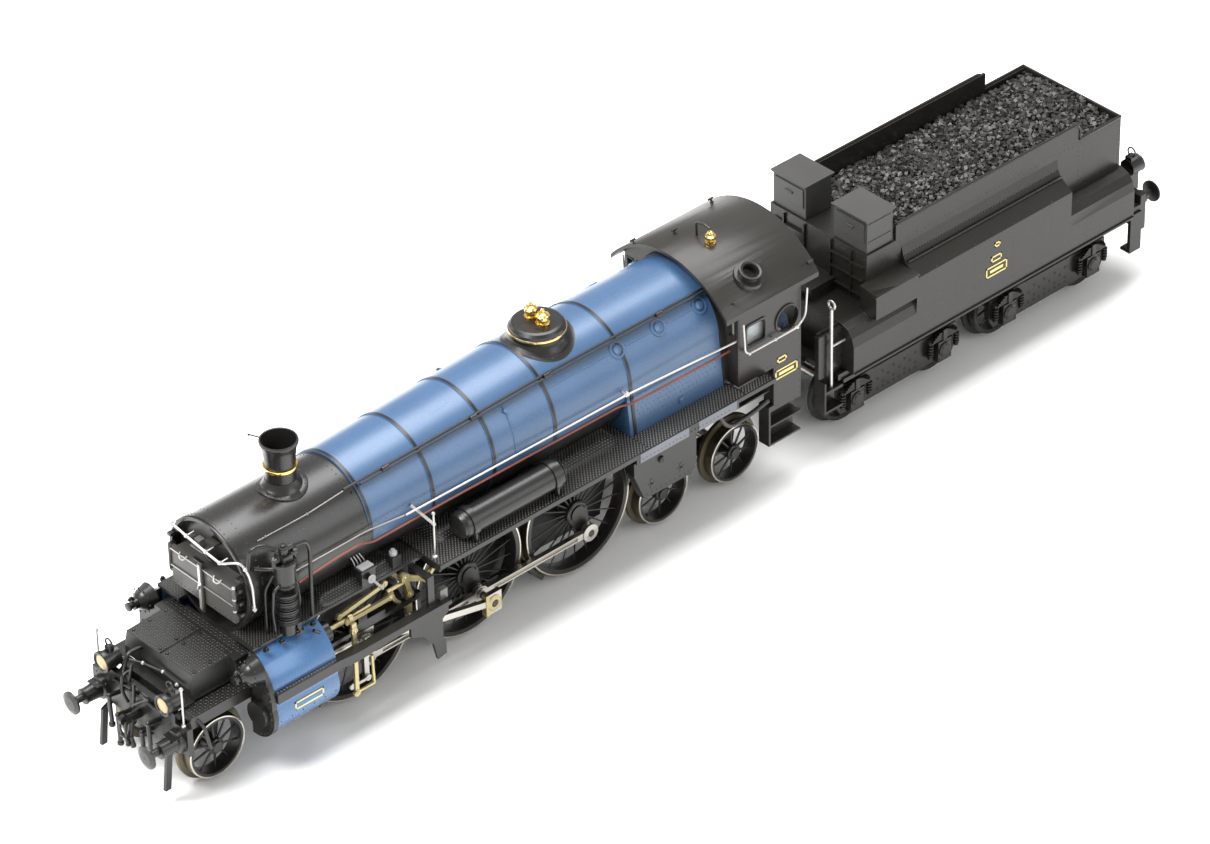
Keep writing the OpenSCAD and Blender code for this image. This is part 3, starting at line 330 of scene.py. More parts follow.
def surface(name, colour, rough, metal=0.0, vary=0.18, grain=900, bump=0.012, spread=0.08,
            coat=0.0, speck=0.0, shine=0.5):
    """Paint or metal: mottled colour, uneven gloss and a fine grain, all from noise."""
    nodes, links, shader, coords = new_material(name)
    shader.inputs["Specular IOR Level"].default_value = shine
    cloud = noise(nodes, links, coords, grain * 0.12)
    low = tuple(c * (1 - vary) for c in colour)
    high = tuple(min(1, c * (1 + vary)) for c in colour)
    tint = ramp(nodes, links, cloud.outputs["Fac"], [(0.3, low), (0.7, high)])
    last = tint.outputs["Color"]
    if speck:
        flakes = nodes.new("ShaderNodeTexVoronoi")
        flakes.inputs["Scale"].default_value = 5200
        links.new(coords.outputs["Object"], flakes.inputs["Vector"])
        share = nodes.new("ShaderNodeMapRange")
        share.inputs["From Min"].default_value = 0.0
        share.inputs["From Max"].default_value = 0.35
        share.inputs["To Min"].default_value = speck
        share.inputs["To Max"].default_value = 0.0
        links.new(flakes.outputs["Distance"], share.inputs["Value"])
        mix = nodes.new("ShaderNodeMix")
        mix.data_type = "RGBA"
        links.new(share.outputs["Result"], mix.inputs["Factor"])
        links.new(last, mix.inputs["A"])
        mix.inputs["B"].default_value = (0.75, 0.8, 0.85, 1)
        last = mix.outputs["Result"]
    links.new(last, shader.inputs["Base Color"])
    fine = noise(nodes, links, coords, grain * 4, 4)
    gloss = nodes.new("ShaderNodeMapRange")
    gloss.inputs["To Min"].default_value = max(0.03, rough - spread)
    gloss.inputs["To Max"].default_value = rough + spread
    links.new(fine.outputs["Fac"], gloss.inputs["Value"])
    links.new(gloss.outputs["Result"], shader.inputs["Roughness"])
    relief = nodes.new("ShaderNodeBump")
    relief.inputs["Strength"].default_value = 0.35
    relief.inputs["Distance"].default_value = bump * MM
    links.new(fine.outputs["Fac"], relief.inputs["Height"])
    links.new(relief.outputs["Normal"], shader.inputs["Normal"])
    shader.inputs["Metallic"].default_value = metal
    shader.inputs["Coat Weight"].default_value = coat
    shader.inputs["Coat Roughness"].default_value = 0.25
    return shader


def glass(name, tint, alpha, rough=0.05):
    """Tinted, partly clear surface."""
    shader = surface(name, tint, rough, vary=0.05, bump=0.002, spread=0.02)
    shader.inputs["Alpha"].default_value = alpha
    shader.inputs["IOR"].default_value = 1.46


def make_materials():
    """Every paint, metal and glass of the model."""
    surface("satin_black", (0.010, 0.0095, 0.009), 0.3, vary=0.15, spread=0.07)
    surface("smokebox_black", (0.011, 0.010, 0.0095), 0.3, vary=0.15, bump=0.005, coat=0.15)
    surface("worn_steel", (0.24, 0.23, 0.215), 0.32, metal=0.8, vary=0.15)
    surface("plate_black", (0.012, 0.0115, 0.011), 0.36, vary=0.25)
    surface("cab_grey", (0.019, 0.0172, 0.0145), 0.34, vary=0.1, bump=0.003, shine=0.4)
    surface("tender_grey", (0.013, 0.0117, 0.0094), 0.3, vary=0.08, bump=0.002, shine=0.38)
    # Toolbox colour; on the tender rivets the same grey is painted highlight.
    surface("toolbox_grey", (0.034, 0.033, 0.032), 0.45, vary=0.1)
    surface("board_mesh", (0.24, 0.235, 0.225), 0.3, metal=0.5, vary=0.25)
    surface("tread_steel", (0.13, 0.11, 0.075), 0.34, metal=0.9, vary=0.12)
    surface("plate_studs", (0.13, 0.127, 0.12), 0.32, metal=0.4, vary=0.2)
    surface("boiler_blue", (0.040, 0.092, 0.185), 0.33, metal=0.1, vary=0.06, bump=0.02, speck=0.1, coat=0.3)
    surface("cylinder_blue", (0.045, 0.125, 0.27), 0.26, metal=0.1, vary=0.05, bump=0.01, coat=0.4)
    surface("polished_brass", (0.85, 0.6, 0.2), 0.18, metal=1.0, vary=0.08, spread=0.05)
    surface("gear_brass", (0.42, 0.36, 0.19), 0.36, metal=0.85, vary=0.15)
    surface("rod_steel", (0.42, 0.40, 0.36), 0.3, metal=1.0, vary=0.1)
    surface("tyre_steel", (0.6, 0.57, 0.5), 0.25, metal=1.0, vary=0.08)
    surface("rail_white", (0.5, 0.49, 0.47), 0.3, metal=0.7, vary=0.06)
    surface("valance_grey", (0.13, 0.14, 0.16), 0.4, vary=0.1)
    surface("door_grey", (0.06, 0.057, 0.052), 0.34, vary=0.1)
    surface("grey_plastic", (0.3, 0.3, 0.3), 0.4, vary=0.08)
    surface("copper", (0.17, 0.05, 0.035), 0.42, metal=0.4, vary=0.2)
    surface("wheel_black", (0.013, 0.012, 0.011), 0.38, vary=0.2)
    surface("gold_print", (0.72, 0.6, 0.22), 0.45, metal=0.3, vary=0.1)
    surface("coal", (0.021, 0.019, 0.018), 0.4, vary=0.5, grain=2500, bump=0.05, spread=0.15)
    surface("motor_can", (0.45, 0.45, 0.46), 0.35, metal=0.9)
    surface("board_green", (0.02, 0.16, 0.06), 0.35)
    surface("chip_black", (0.02, 0.02, 0.02), 0.3)
    surface("cloth_blue", (0.05, 0.075, 0.13), 0.8, vary=0.25, bump=0.05)
    surface("skin", (0.55, 0.3, 0.2), 0.55, vary=0.1)
    # Near-black for the bogie holes: painted shade.
    surface("hole_shade_black", (0.008, 0.008, 0.008), 0.7)
    glass("window_glass", (0.75, 0.8, 0.82), 0.35)
    glass("lamp_glass", (0.62, 0.47, 0.24), 0.8, 0.1)


CAD_FINISH = {
    "satin_black": ["loco_frame", "front_beam", "front_buffers", "front_hoses", "headlamps",
                    "cylinder_covers", "motion_brackets", "air_pump", "air_reservoirs",
                    "lubricators", "boiler_pipes", "pony_truck", "trailing_bogie", "drawbar",
                    "rear_fittings", "dome"],
    "smokebox_black": ["smokebox", "chimney"],
    "plate_black": ["front_cover", "running_boards", "ash_pan"],
    "door_grey": ["smokebox_door"],
    "boiler_blue": ["boiler", "firebox"],
    "cylinder_blue": ["cylinders"],
    "cab_grey": ["cab_body", "cab_roof"],
    "tender_grey": ["tender_frame", "tender_body", "tender_bogie_1", "tender_bogie_2"],
    "toolbox_grey": ["toolboxes"],
    "polished_brass": ["safety_valves", "whistle"],
    "gear_brass": ["valve_gear"],
    "rail_white": ["handrails", "tender_rails"],
    "rod_steel": ["coupling_rod_left", "coupling_rod_right", "main_rod_left", "main_rod_right",
                  "crosshead_left", "crosshead_right", "motor_shaft"],
    "wheel_black": ["leading_wheels", "driving_wheels_1", "driving_wheels_2", "driving_wheels_3",
                    "trailing_wheels_1", "trailing_wheels_2", "tender_wheels_1",
                    "tender_wheels_2", "tender_wheels_3", "tender_wheels_4"],
    "window_glass": ["cab_windows"],
    "lamp_glass": ["headlamp_lenses"],
    "cloth_blue": ["driver_figure"],
    "motor_can": ["motor"],
    "board_green": ["circuit_board"],
    "coal": ["coal_load"],
}
SOFT_EDGES = ["loco_frame", "front_beam", "front_cover", "smokebox_door", "running_boards",
              "cylinders", "motion_brackets", "ash_pan", "cab_body", "cab_roof", "tender_body",
              "tender_frame", "toolboxes", "tender_bogie_1", "tender_bogie_2", "firebox",
              "main_rod_left", "main_rod_right", "coupling_rod_left", "coupling_rod_right"]


def finish_cad_nodes():
    """Gives the CAD nodes their finishes, and soft edges where they are plated or machined."""
    for material, nodes in CAD_FINISH.items():
        for name in nodes:
            obj = frame["nodes"][name]
            obj.data.materials.clear()
            obj.data.materials.append(MATERIALS[material])
    for name in SOFT_EDGES:
        obj = frame["nodes"][name]
        weld = obj.modifiers.new("weld", "WELD")
        weld.merge_threshold = 1e-6
        bevel = obj.modifiers.new("soft_edges", "BEVEL")
        bevel.width = 0.08 * MM
        bevel.segments = 2
        bevel.limit_method = "ANGLE"
        bevel.angle_limit = math.radians(50)
        bevel.harden_normals = True


# ---- Wheels ----------------------------------------------------------------------------------


def tyre(name, node, r, flange, tread, line_paint):
    """Tyres of an axle: dark tread and flange with a thin line on the face."""
    centre = (station(node).x, 0, r)
    edge = r + flange
    skin = Shape()
    skin.turned(centre, OUT, [
        (WHEEL_OUT, r - 0.3), (WHEEL_OUT, r), (WHEEL_IN + 0.95, r + 0.02), (WHEEL_IN + 0.8, edge - 0.1),
        (WHEEL_IN + 0.55, edge + 0.02), (WHEEL_IN + 0.1, edge - 0.05), (WHEEL_IN - 0.02, edge - 0.3),
        (WHEEL_IN - 0.02, r - 0.4)], 80, ring=True)
    piece(f"{name}_treads", skin.mirrored(), tread, node)
    line = Shape()
    line.turned(centre, OUT, [
        (WHEEL_OUT - 0.02, r - 0.34), (WHEEL_OUT + 0.06, r - 0.3), (WHEEL_OUT + 0.06, r - 0.06),
        (WHEEL_OUT - 0.02, r - 0.01)], 80, ring=True)
    piece(f"{name}_lines", line.mirrored(), line_paint, node)


def spoked_wheels(name, node, r, rim, hub, count, spoke, axle):
    """Turned rim and hub with thin tapering spokes, and the axle, which replaces the CAD wheels."""
    x = station(node).x
    centre = (x, 0, r)
    bore = r - rim
    shape = Shape()
    shape.turned(centre, OUT, [
        (WHEEL_OUT, r - 0.05), (WHEEL_OUT, bore), (WHEEL_OUT - 0.5, bore - 0.12),
        (WHEEL_IN + 0.4, bore - 0.12), (WHEEL_IN, bore), (WHEEL_IN, r - 0.05)], 80, ring=True)
    shape.turned(centre, OUT, [
        (WHEEL_IN, 0.01), (WHEEL_IN, hub), (WHEEL_OUT - 0.2, hub), (WHEEL_OUT, hub - 0.25),
        (WHEEL_OUT, axle + 0.3), (WHEEL_OUT - 0.15, axle + 0.2), (WHEEL_OUT - 0.15, axle),
        (WHEEL_OUT + 0.2, axle), (WHEEL_OUT + 0.2, 0.01)], 36)
    middle = (WHEEL_IN + WHEEL_OUT) / 2 + 0.2
    for k in range(count):
        a = 2 * math.pi * (k + 0.5) / count
        inner, outer = (Vector((x + d * math.cos(a), middle, r + d * math.sin(a)))
                        for d in (hub - 0.2, bore + 0.05))
        shape.rod(inner + Vector((0, 0.35, 0)), outer, spoke * 1.35, spoke, 8)
    piece(f"{name}_spokes", shape.mirrored(), "wheel_black", node)
    bar = Shape()
    bar.rod((x, -WHEEL_IN - 0.2, r), (x, WHEEL_IN + 0.2, r), axle, sides=24)
    piece(f"{name}_axle", bar, "rod_steel", node, stands_for=[node])


def crank_parts(node, number):
    """Crank bosses, pins and counterweights, set from the rods' own places."""
    x = station(node).x
    shape = Shape()
    for side, rod in ((-1, "coupling_rod_left"), (1, "coupling_rod_right")):
        px = station(rod).x - DRIVERS[1]
        pz = station(rod).z - DRIVER_R
        reach = 15.3 if number == 2 else 12.0
        shape.turned((x + px, 0, DRIVER_R + pz), (0, side, 0), [
            (WHEEL_IN + 1.0, 1.45), (WHEEL_OUT + 0.1, 1.45), (WHEEL_OUT + 0.2, 1.3),
            (WHEEL_OUT + 0.2, 0.7), (reach - 0.1, 0.7), (reach, 0.6), (reach, 0.01)], 28)
        turn = math.atan2(pz, px)
        c, s = math.cos(turn), math.sin(turn)
        web = [(x + d * c - w * s, side * (WHEEL_IN + 1.0), DRIVER_R + d * s + w * c)
               for d, w in ((0, -2.2), (4.1, -1.4), (4.1, 1.4), (0, 2.2))]
        shape.slab(web, (0, side * 1.85, 0))
        arc = [math.pi + turn + math.radians(d) for d in range(-32, 33, 4)]
        inner, outer = ([(x + r * math.cos(t), side * (WHEEL_IN + 0.7), DRIVER_R + r * math.sin(t))
                         for t in arc] for r in (DRIVER_R - 4.6, DRIVER_R - 1.3))
        for k in range(len(arc) - 1):
            quad = [outer[k], outer[k + 1], inner[k + 1], inner[k]]
            shape.slab(quad, (0, side * 1.6, 0))
    piece(f"driving_cranks_{number}", shape, "wheel_black", node)


def wheels():
    """Tyres, spokes and axles of all ten axles, the cranks and the gear wheel."""
    for k in (1, 2, 3):
        name, node = f"driving_{k}", f"driving_wheels_{k}"
        tyre(name, node, DRIVER_R, 0 if k == 2 else FLANGE, "tread_steel", "tyre_steel")
        spoked_wheels(name, node, DRIVER_R, 1.15, 2.3, 22, 0.13, 1.5)
        crank_parts(node, k)
    gear_wheel("driving_wheels_3")
    carrying = {"leading": "leading_wheels", "trailing_1": "trailing_wheels_1",
                "trailing_2": "trailing_wheels_2"}
    carrying.update({f"tender_{k}": f"tender_wheels_{k}" for k in (1, 2, 3, 4)})
    for name, node in carrying.items():
        tread, line = ("wheel_black", "wheel_black") if "tender" in name else ("tread_steel", "tyre_steel")
        tyre(name, node, CARRYING_R, FLANGE, tread, line)
        spoked_wheels(name, node, CARRYING_R, 0.8, 1.5, 10, 0.17, 1.0)


def gear_wheel(node):
    """Toothed wheel under the motor's worm."""
    x = station(node).x
    shape = Shape()
    corners = 32 * 4
    rings = []
    for y in (-1, 1):
        ring = []
        for k in range(corners):
            a = 2 * math.pi * k / corners
            r = 5.2 if k % 4 < 2 else 4.75
            ring.append((x + r * math.cos(a), y, DRIVER_R + r * math.sin(a)))
        rings.append(ring)
    shape.rings(rings)
    piece("drive_gear", shape, "gear_brass", node)


# ---- Boiler ----------------------------------------------------------------------------------


def boiler_bands():
    """Cladding bands, and the strip where the boiler meets the cab."""
    shape = Shape()
    for x in BANDS:
        r = boiler_radius(x)
        if x < FIREBOX_X:
            profile = [(-0.3, r), (-0.3, r + 0.18), (0.3, r + 0.2), (0.3, r)]
            shape.turned((x, 0, boiler_axis(x)), BACK, profile, 96, ring=True)
        else:
            upper_band(shape, x, 0.3)
    cab_edge = 130.3
    upper_band(shape, (cab_edge + CAB_X) / 2, (CAB_X - cab_edge) / 2)
    piece("boiler_bands", shape, "satin_black", "boiler")


def painted_boiler_underside_shade():
    """Black sheet over the lower flanks of the boiler in front of the firebox: painted shade where the
    boiler's underside turns away from the light.
    """
    shape = Shape()
    first, steps = 50.9, 27
    arc = [math.radians(102 + 60 * i / 16) for i in range(17)]
    rings = []
    for k in range(steps + 1):
        x = first + k * (FIREBOX_X - first) / steps
        axis = boiler_axis(x)
        outer, inner = ([(x, r * math.sin(a), axis + r * math.cos(a)) for a in arc]
                        for r in (boiler_radius(x) + 0.06, boiler_radius(x) - 0.1))
        rings.append(outer + inner[::-1])
    shape.rings(rings)
    # Painted shade: a black sheet where the boiler's underside lies in shadow.
    piece("painted_boiler_underside_shade", shape.mirrored(), "plate_black", "boiler")


def firebox_side(z):
    """Half width of the firebox at a height: it widens down to the walkways."""
    r = BOILER_PROFILE[-1][1]
    share = (BOILER_BOTTOM + r - z) / (BOILER_BOTTOM + r - BOARD_Z)
    return r + (FIREBOX_FOOT - r) * min(1, max(0, share))


def upper_band(shape, x, half):
    """Band over the top and down the firebox sides."""
    axis = boiler_axis(x)
    r = boiler_radius(x) + 0.08
    arc = [math.pi * i / 40 for i in range(41)]
    points = [(-FIREBOX_FOOT - 0.08, BOARD_Z)]
    points += [(-r * math.cos(a), axis + r * math.sin(a)) for a in arc]
    points += [(FIREBOX_FOOT + 0.08, BOARD_Z)]
    section = ((-half, -0.15), (-half, 0.1), (half, 0.1), (half, -0.15))
    rings = []
    for y, z in points:
        out = Vector((0, y, max(0, z - axis))).normalized()
        rings.append([Vector((x + dx, y, z)) + out * lift for dx, lift in section])
    shape.rings(rings)


def boiler_rivets():
    """Rivet rows along the seams and over the crown."""
    shape = Shape()

    def dot(x, degrees, r=0.12):
        """Rivet on the boiler skin."""
        p = on_boiler(x, degrees)
        n = Vector((0, p[1], p[2] - boiler_axis(x)))
        shape.rivet(p, n, r, 0.07)

    for x in (93.2, 96.2):
        for k in range(-14, 15):
            if abs(k) > 4:
                dot(x, k * 6)
    for side in (-1, 1):
        for k in range(44):
            dot(51.5 + k * 0.9, side * (80 + k * 0.18))
            dot(52 + k * 0.9, side * (83.5 + k * 0.18))
        for k in range(30):
            dot(92.4 + k * 0.5, side * 87, 0.09)
        for k in range(12):
            dot(79.5 + k * 0.8, side * 5)
        for k in range(28):
            dot(103 + k * 0.98, side * 3.4)
    for k in range(22):
        a = 2 * math.pi * k / 22
        edge = max(abs(math.cos(a)), abs(math.sin(a))) ** 0.6
        dot(72.2 + 2.4 * math.cos(a) / edge, 3 + 15 * math.sin(a) / edge)
    piece("boiler_rivets", shape, "boiler_blue", "boiler")


def washout_plugs():
    """Raised rings with an inner plug on the firebox shoulder, joined by beading."""
    shape = Shape()
    turn, seam_x = 50.5, 82.4
    for x in (108.3, 118.0, 127.9):
        p = Vector(on_boiler(x, turn))
        n = Vector((0, p.y, p.z - boiler_axis(x))).normalized()
        foot = p - n * 0.1
        shape.turned(foot, n, [(0, 1.6), (0.24, 1.55), (0.24, 1.3), (0.05, 1.25)], 28, ring=True)
        shape.turned(foot, n, [(0, 0.85), (0.3, 0.8), (0.42, 0.45), (0.42, 0.01)], 20)
    for x0, x1 in ((92.2, 106.2), (110.3, 116.0), (120.1, 125.9)):
        shape.pipe([on_boiler(x0, turn, 0.02), on_boiler(x1, turn, 0.02)], 0.13)
    shape.pipe([on_boiler(seam_x, a, 0.02) for a in range(44, 100, 4)], 0.14)
    shape.rod(on_boiler(seam_x, 50, -0.1), on_boiler(seam_x, 50, 0.45), 0.4)
    piece("washout_plugs", shape.mirrored(), "boiler_blue", "boiler")


def firebox_stays():
    """Close rows of stay heads on the lower firebox sides."""
    shape = Shape()
    for row in range(9):
        z = BOARD_Z + 0.8 + row * 0.95
        for k in range(20):
            x = 110 + k * 0.98 + (row % 2) * 0.45
            if x < 130:
                shape.rivet((x, firebox_side(z), z), (0, 1, 0.12), 0.15, 0.1)
    for k in range(7):
        z = BOARD_Z + 0.9 + k * 1.1
        shape.rivet((FIREBOX_X, firebox_side(z) - 0.5, z), AHEAD, 0.14, 0.1)
    shape.turned((120.2, 12.2, BOARD_Z + 1.9), (0, 1, 0.1),
                 [(0, 0.75), (0.25, 0.7), (0.25, 0.4), (0.4, 0.35), (0.4, 0.01)], 18)
    piece("firebox_stays", shape.mirrored(), "boiler_blue", "firebox")


def dome_dress():
    """Brass ring, saddle and lid bolts of the dome, and the tops of the two safety valves."""
    x = station("dome").x
    base = BOILER_BOTTOM + 2 * boiler_radius(x)
    lid = base + 2.9
    ring = Shape()
    ring.turned((x, 0, base), UP, [(1.35, 4.9), (1.4, 5.2), (1.75, 5.2), (1.8, 4.9)], 64, ring=True)
    piece("dome_ring", ring, "polished_brass", "dome")
    flange = Shape()
    rings = []
    for k in range(65):
        a = 2 * math.pi * k / 64
        points = []
        for r, lift in ((5.2, 0.3), (5.6, 0.02), (6.5, 0.06), (6.5, -0.2)):
            y = r * math.sin(a)
            skin = boiler_axis(x) + math.sqrt(boiler_radius(x) ** 2 - y * y)
            points.append((x + r * math.cos(a), y, skin + lift))
        rings.append(points)
    flange.rings(rings)
    flange.rivet_ring((x, 0, lid), UP, 3.9, 20, 0.15, 0.12)
    piece("dome_flange", flange, "satin_black", "dome")
    valves = Shape()
    y = 1.5
    for k in range(8):
        a = 2 * math.pi * k / 8
        c, s = math.cos(a), math.sin(a)
        valves.rod((x + 0.95 * c, y + 0.95 * s, lid + 1.1), (x + 1.12 * c, y + 1.12 * s, lid + 1.95), 0.2)
    valves.ball((x, y, lid + 2.75), 0.42)
    piece("valve_crowns", valves.mirrored(), "polished_brass", "safety_valves")


def smokebox_drop(y):
    """How far the smokebox skin lies under its crown at an offset."""
    return SMOKEBOX_R - math.sqrt(SMOKEBOX_R ** 2 - y * y)


def chimney_dress():
    """Flared chimney with a thin lip, bolted saddle, brass band and spark-guard handle."""
    x = station("chimney").x
    crown = SMOKEBOX_AXIS + SMOKEBOX_R
    steps = 56
    stack = Shape()
    stack.turned((x, 0, 0), UP, [
        (44.0, 2.72), (46.0, 2.68), (48.4, 2.74), (50.0, 2.95), (50.9, 3.14), (51.3, 3.36), (51.7, 3.42),
        (51.95, 3.3), (51.9, 3.05), (51.0, 2.85), (49.0, 2.45), (44.0, 2.3)], steps, ring=True)
    rings = []
    for lift, r, follow in ((-0.3, 4.5, 1), (0.25, 4.5, 1), (0.32, 4.35, 1), (0.32, 3.6, 1),
                            (0.7, 3.15, 0.5), (1.4, 2.8, 0), (1.4, 2.3, 0), (-0.3, 2.3, 1)):
        ring = []
        for i in range(steps):
            a = 2 * math.pi * i / steps
            y = r * math.sin(a)
            ring.append((x + r * math.cos(a), y, crown - smokebox_drop(y) * follow + lift))
        rings.append(ring)
    stack.rings(rings, close=True)
    for i in range(16):
        a = 2 * math.pi * i / 16
        y = 4.25 * math.sin(a)
        foot = (x + 4.0 * math.cos(a), y * 0.94, crown - smokebox_drop(y) + 0.32)
        stack.rivet(foot, (0, y / 10, 1), 0.17, 0.14)
    stack.rod((x - 1.4, 2.8, 51.4), (x - 2.6, 4.4, 51.8), 0.14)
    stack.ball((x - 2.7, 4.5, 51.8), 0.24)
    piece("chimney_stack", stack, "smokebox_black", "chimney", stands_for=["chimney"])
    band = Shape()
    profile = [(46.4, 2.6), (46.4, 2.98), (46.7, 3.06), (47.0, 2.98), (47.0, 2.6)]
    band.turned((x, 0, 0), UP, profile, steps, ring=True)
    piece("chimney_band", band, "polished_brass", "chimney")


# ---- Smokebox --------------------------------------------------------------------------------


def smokebox_dress():
    """Rivets of the smokebox, and the door's straps, handles, hinges and lamp bracket."""
    front, rear = 23.6, 50
    rows = Shape()
    for x in (front + 0.9, front + 3.4, rear - 1.2):
        lift = SMOKEBOX_R + (0.15 if x < front + 1.6 else 0)
        for k in range(38):
            a = math.radians(-110 + k * 220 / 37)
            n = Vector((0, -math.sin(a), math.cos(a)))
            rows.rivet(Vector((x, 0, SMOKEBOX_AXIS)) + n * lift, n, 0.15, 0.1)
    for turn in (52, -52):
        a = math.radians(turn)
        n = Vector((0, -math.sin(a), math.cos(a)))
        for k in range(22):
            rows.rivet(Vector((front + 4 + k * 1.02, 0, SMOKEBOX_AXIS)) + n * SMOKEBOX_R, n, 0.12, 0.07)
    piece("smokebox_rivets", rows, "smokebox_black", "smokebox")

    face = 22.2
    straps = Shape()
    for z in (30.85, 34.25):
        straps.block([face - 0.3, face - 0.14], [-8.1, 8.1], [z, z + 0.16])
    piece("door_strap_edges", straps, "rail_white", "smokebox_door")
    handles = Shape()
    handles.pipe([(face - 0.2, 3.6, 35), (face - 0.8, 3.9, 34.2),
                  (face - 0.8, 5.1, 34.2), (face - 0.2, 5.4, 35)], 0.14, 0.5)
    handles.mirrored()
    handles.block([face - 0.75, face - 0.5], [-0.3, 0.3], [26.2, 35.4])
    handles.rod((face - 0.9, -0.2, 31.5), (face - 0.9, 0.2, 30.4), 0.25)
    hinge = Vector((face - 0.1, -8.4, 0))
    for z in (30, 32.4, 34.8):
        handles.ball(hinge + Vector((0, 0, z)), 0.36)
    handles.rod(hinge + Vector((0, 0, 30)), hinge + Vector((0, 0, 34.8)), 0.2)
    piece("door_handles", handles, "rail_white", "smokebox_door")
    trim = Shape()
    for z in (29.2, 31.6, 34.2, 36.4):
        trim.block([face + 0.3, face + 1.6], [8.45, 9.35], [z - 0.3, z + 0.3])
    trim.mirrored()
    trim.rivet_line((face, -7, 27.8), (face, 7, 27.8), 15, AHEAD, 0.14)
    trim.block([face - 0.9, face - 0.2], [-1.2, 1.2], [36.2, 36.4])
    trim.pipe([(face + 0.4, -1, 38.9), (face - 0.6, -2.2, 38.3), (face - 0.2, -3, 37.6)], 0.16)
    piece("door_trim", trim, "satin_black", "smokebox_door")


def pump_dress():
    """Pipes, valves and cooling ribs of the air pump."""
    x, y = 29.4, -13.0
    foot = BOARD_Z + 1.2
    top = foot + 14.4
    ribs = Shape()
    for i in range(14):
        ribs.turned((x, y, foot + 1.4 + i * 0.46), UP, [(0, 1.6), (0.02, 2.15), (0.2, 2.2), (0.24, 1.6)],
                    28, ring=True)
    piece("pump_ribs", ribs, "satin_black", "air_pump")
    parts = Shape()
    parts.rivet_ring((x, y, foot + 13.7), UP, 1.75, 8, 0.22, 0.3)
    parts.turned((x, y, top + 1.6), UP, [(0, 0.9), (0.3, 0.9), (0.35, 0.5), (0.9, 0.45), (0.95, 0.01)], 18)
    for dx in (-2.1, 2.1):
        parts.turned((x + dx, y, top - 0.1), UP,
                     [(-0.9, 0.5), (0.5, 0.5), (0.6, 0.7), (0.9, 0.7), (1, 0.35), (1.4, 0.01)], 16)
    parts.pipe([(x + 1.2, y + 1.2, foot + 10.8), (x + 3.2, y + 1.6, foot + 10.4),
                (x + 3.2, y + 0.4, foot + 3), (x + 1.6, y, foot + 2.4)], 0.28)
    parts.pipe([(x - 1.8, y - 0.6, foot + 9.6), (x - 3, y - 0.6, foot + 9), (x - 3, y, foot + 4),
                (x - 2.4, y + 0.4, foot)], 0.25)
    parts.turned((x, y, foot + 9), UP, [(0, 1.85), (0.25, 2.0), (0.5, 1.85)], 26)
    piece("pump_pipes", parts, "satin_black", "air_pump")


# ---- Walkways --------------------------------------------------------------------------------


def tread_plate(shape, origin, along, aside, pitch):
    """Raised diamond studs over a flat quad given by an origin and two edges."""
    origin, along, aside = Vector(origin), Vector(along), Vector(aside)
    u, v = along.normalized(), aside.normalized()
    n = u.cross(v)
    for i in range(int(along.length / pitch)):
        for j in range(int(aside.length / pitch)):
            p = origin + u * (i + 0.5) * pitch + v * (j + 0.5) * pitch
            turn = 1 if (i + j) % 2 else -1
            d = (u + v * turn).normalized() * pitch * 0.42
            w = (u - v * turn).normalized() * pitch * 0.15
            base = [p + d, p + w, p - d, p - w]
            shape.rings([[q - n * 0.01 for q in base], [p + (q - p) * 0.55 + n * 0.1 for q in base]])


def board_rise(x, y):
    """How far the walkway skin stands above the board: it swells over the driving wheels."""
    aside = min(1, max(0, (12.2 - abs(y)) / 1.6))
    along = max(min(1, max(0, (8.8 - abs(x - middle)) / 1.6)) for middle in DRIVERS)
    return 1.2 * along * aside


def walkway_skin(shape, x_range, y_range):
    """Thin pressed sheet on the board, following the swells."""
    columns = int((x_range[1] - x_range[0]) / 0.6)
    ys = [y_range[0] + (y_range[1] - y_range[0]) * k / 16 for k in range(17)]
    rings = []
    for k in range(columns + 1):
        x = x_range[0] + (x_range[1] - x_range[0]) * k / columns
        top = [(x, y, BOARD_Z + 0.03 + board_rise(x, y)) for y in ys]
        rings.append(top + [(x, y, z - 0.1) for x, y, z in reversed(top)])
    shape.rings(rings)


def walkway_dots(shape, x_range, y_range, pitch):
    """Staggered raised dots of the tread pattern."""
    rows = int((y_range[1] - y_range[0]) / (pitch * 0.62))
    for j in range(rows):
        y = y_range[0] + (j + 0.5) * pitch * 0.62
        for i in range(int((x_range[1] - x_range[0]) / pitch)):
            x = x_range[0] + (i + 0.3 + 0.5 * (j % 2)) * pitch
            z = BOARD_Z + 0.02 + board_rise(x, y)
            half = pitch * 0.24
            base = [(x + half, y), (x, y + half), (x - half, y), (x, y - half)]
            shape.rings([[(a, b, z) for a, b in base],
                         [(x + (a - x) * 0.7, y + (b - y) * 0.7, z + 0.1) for a, b in base]])


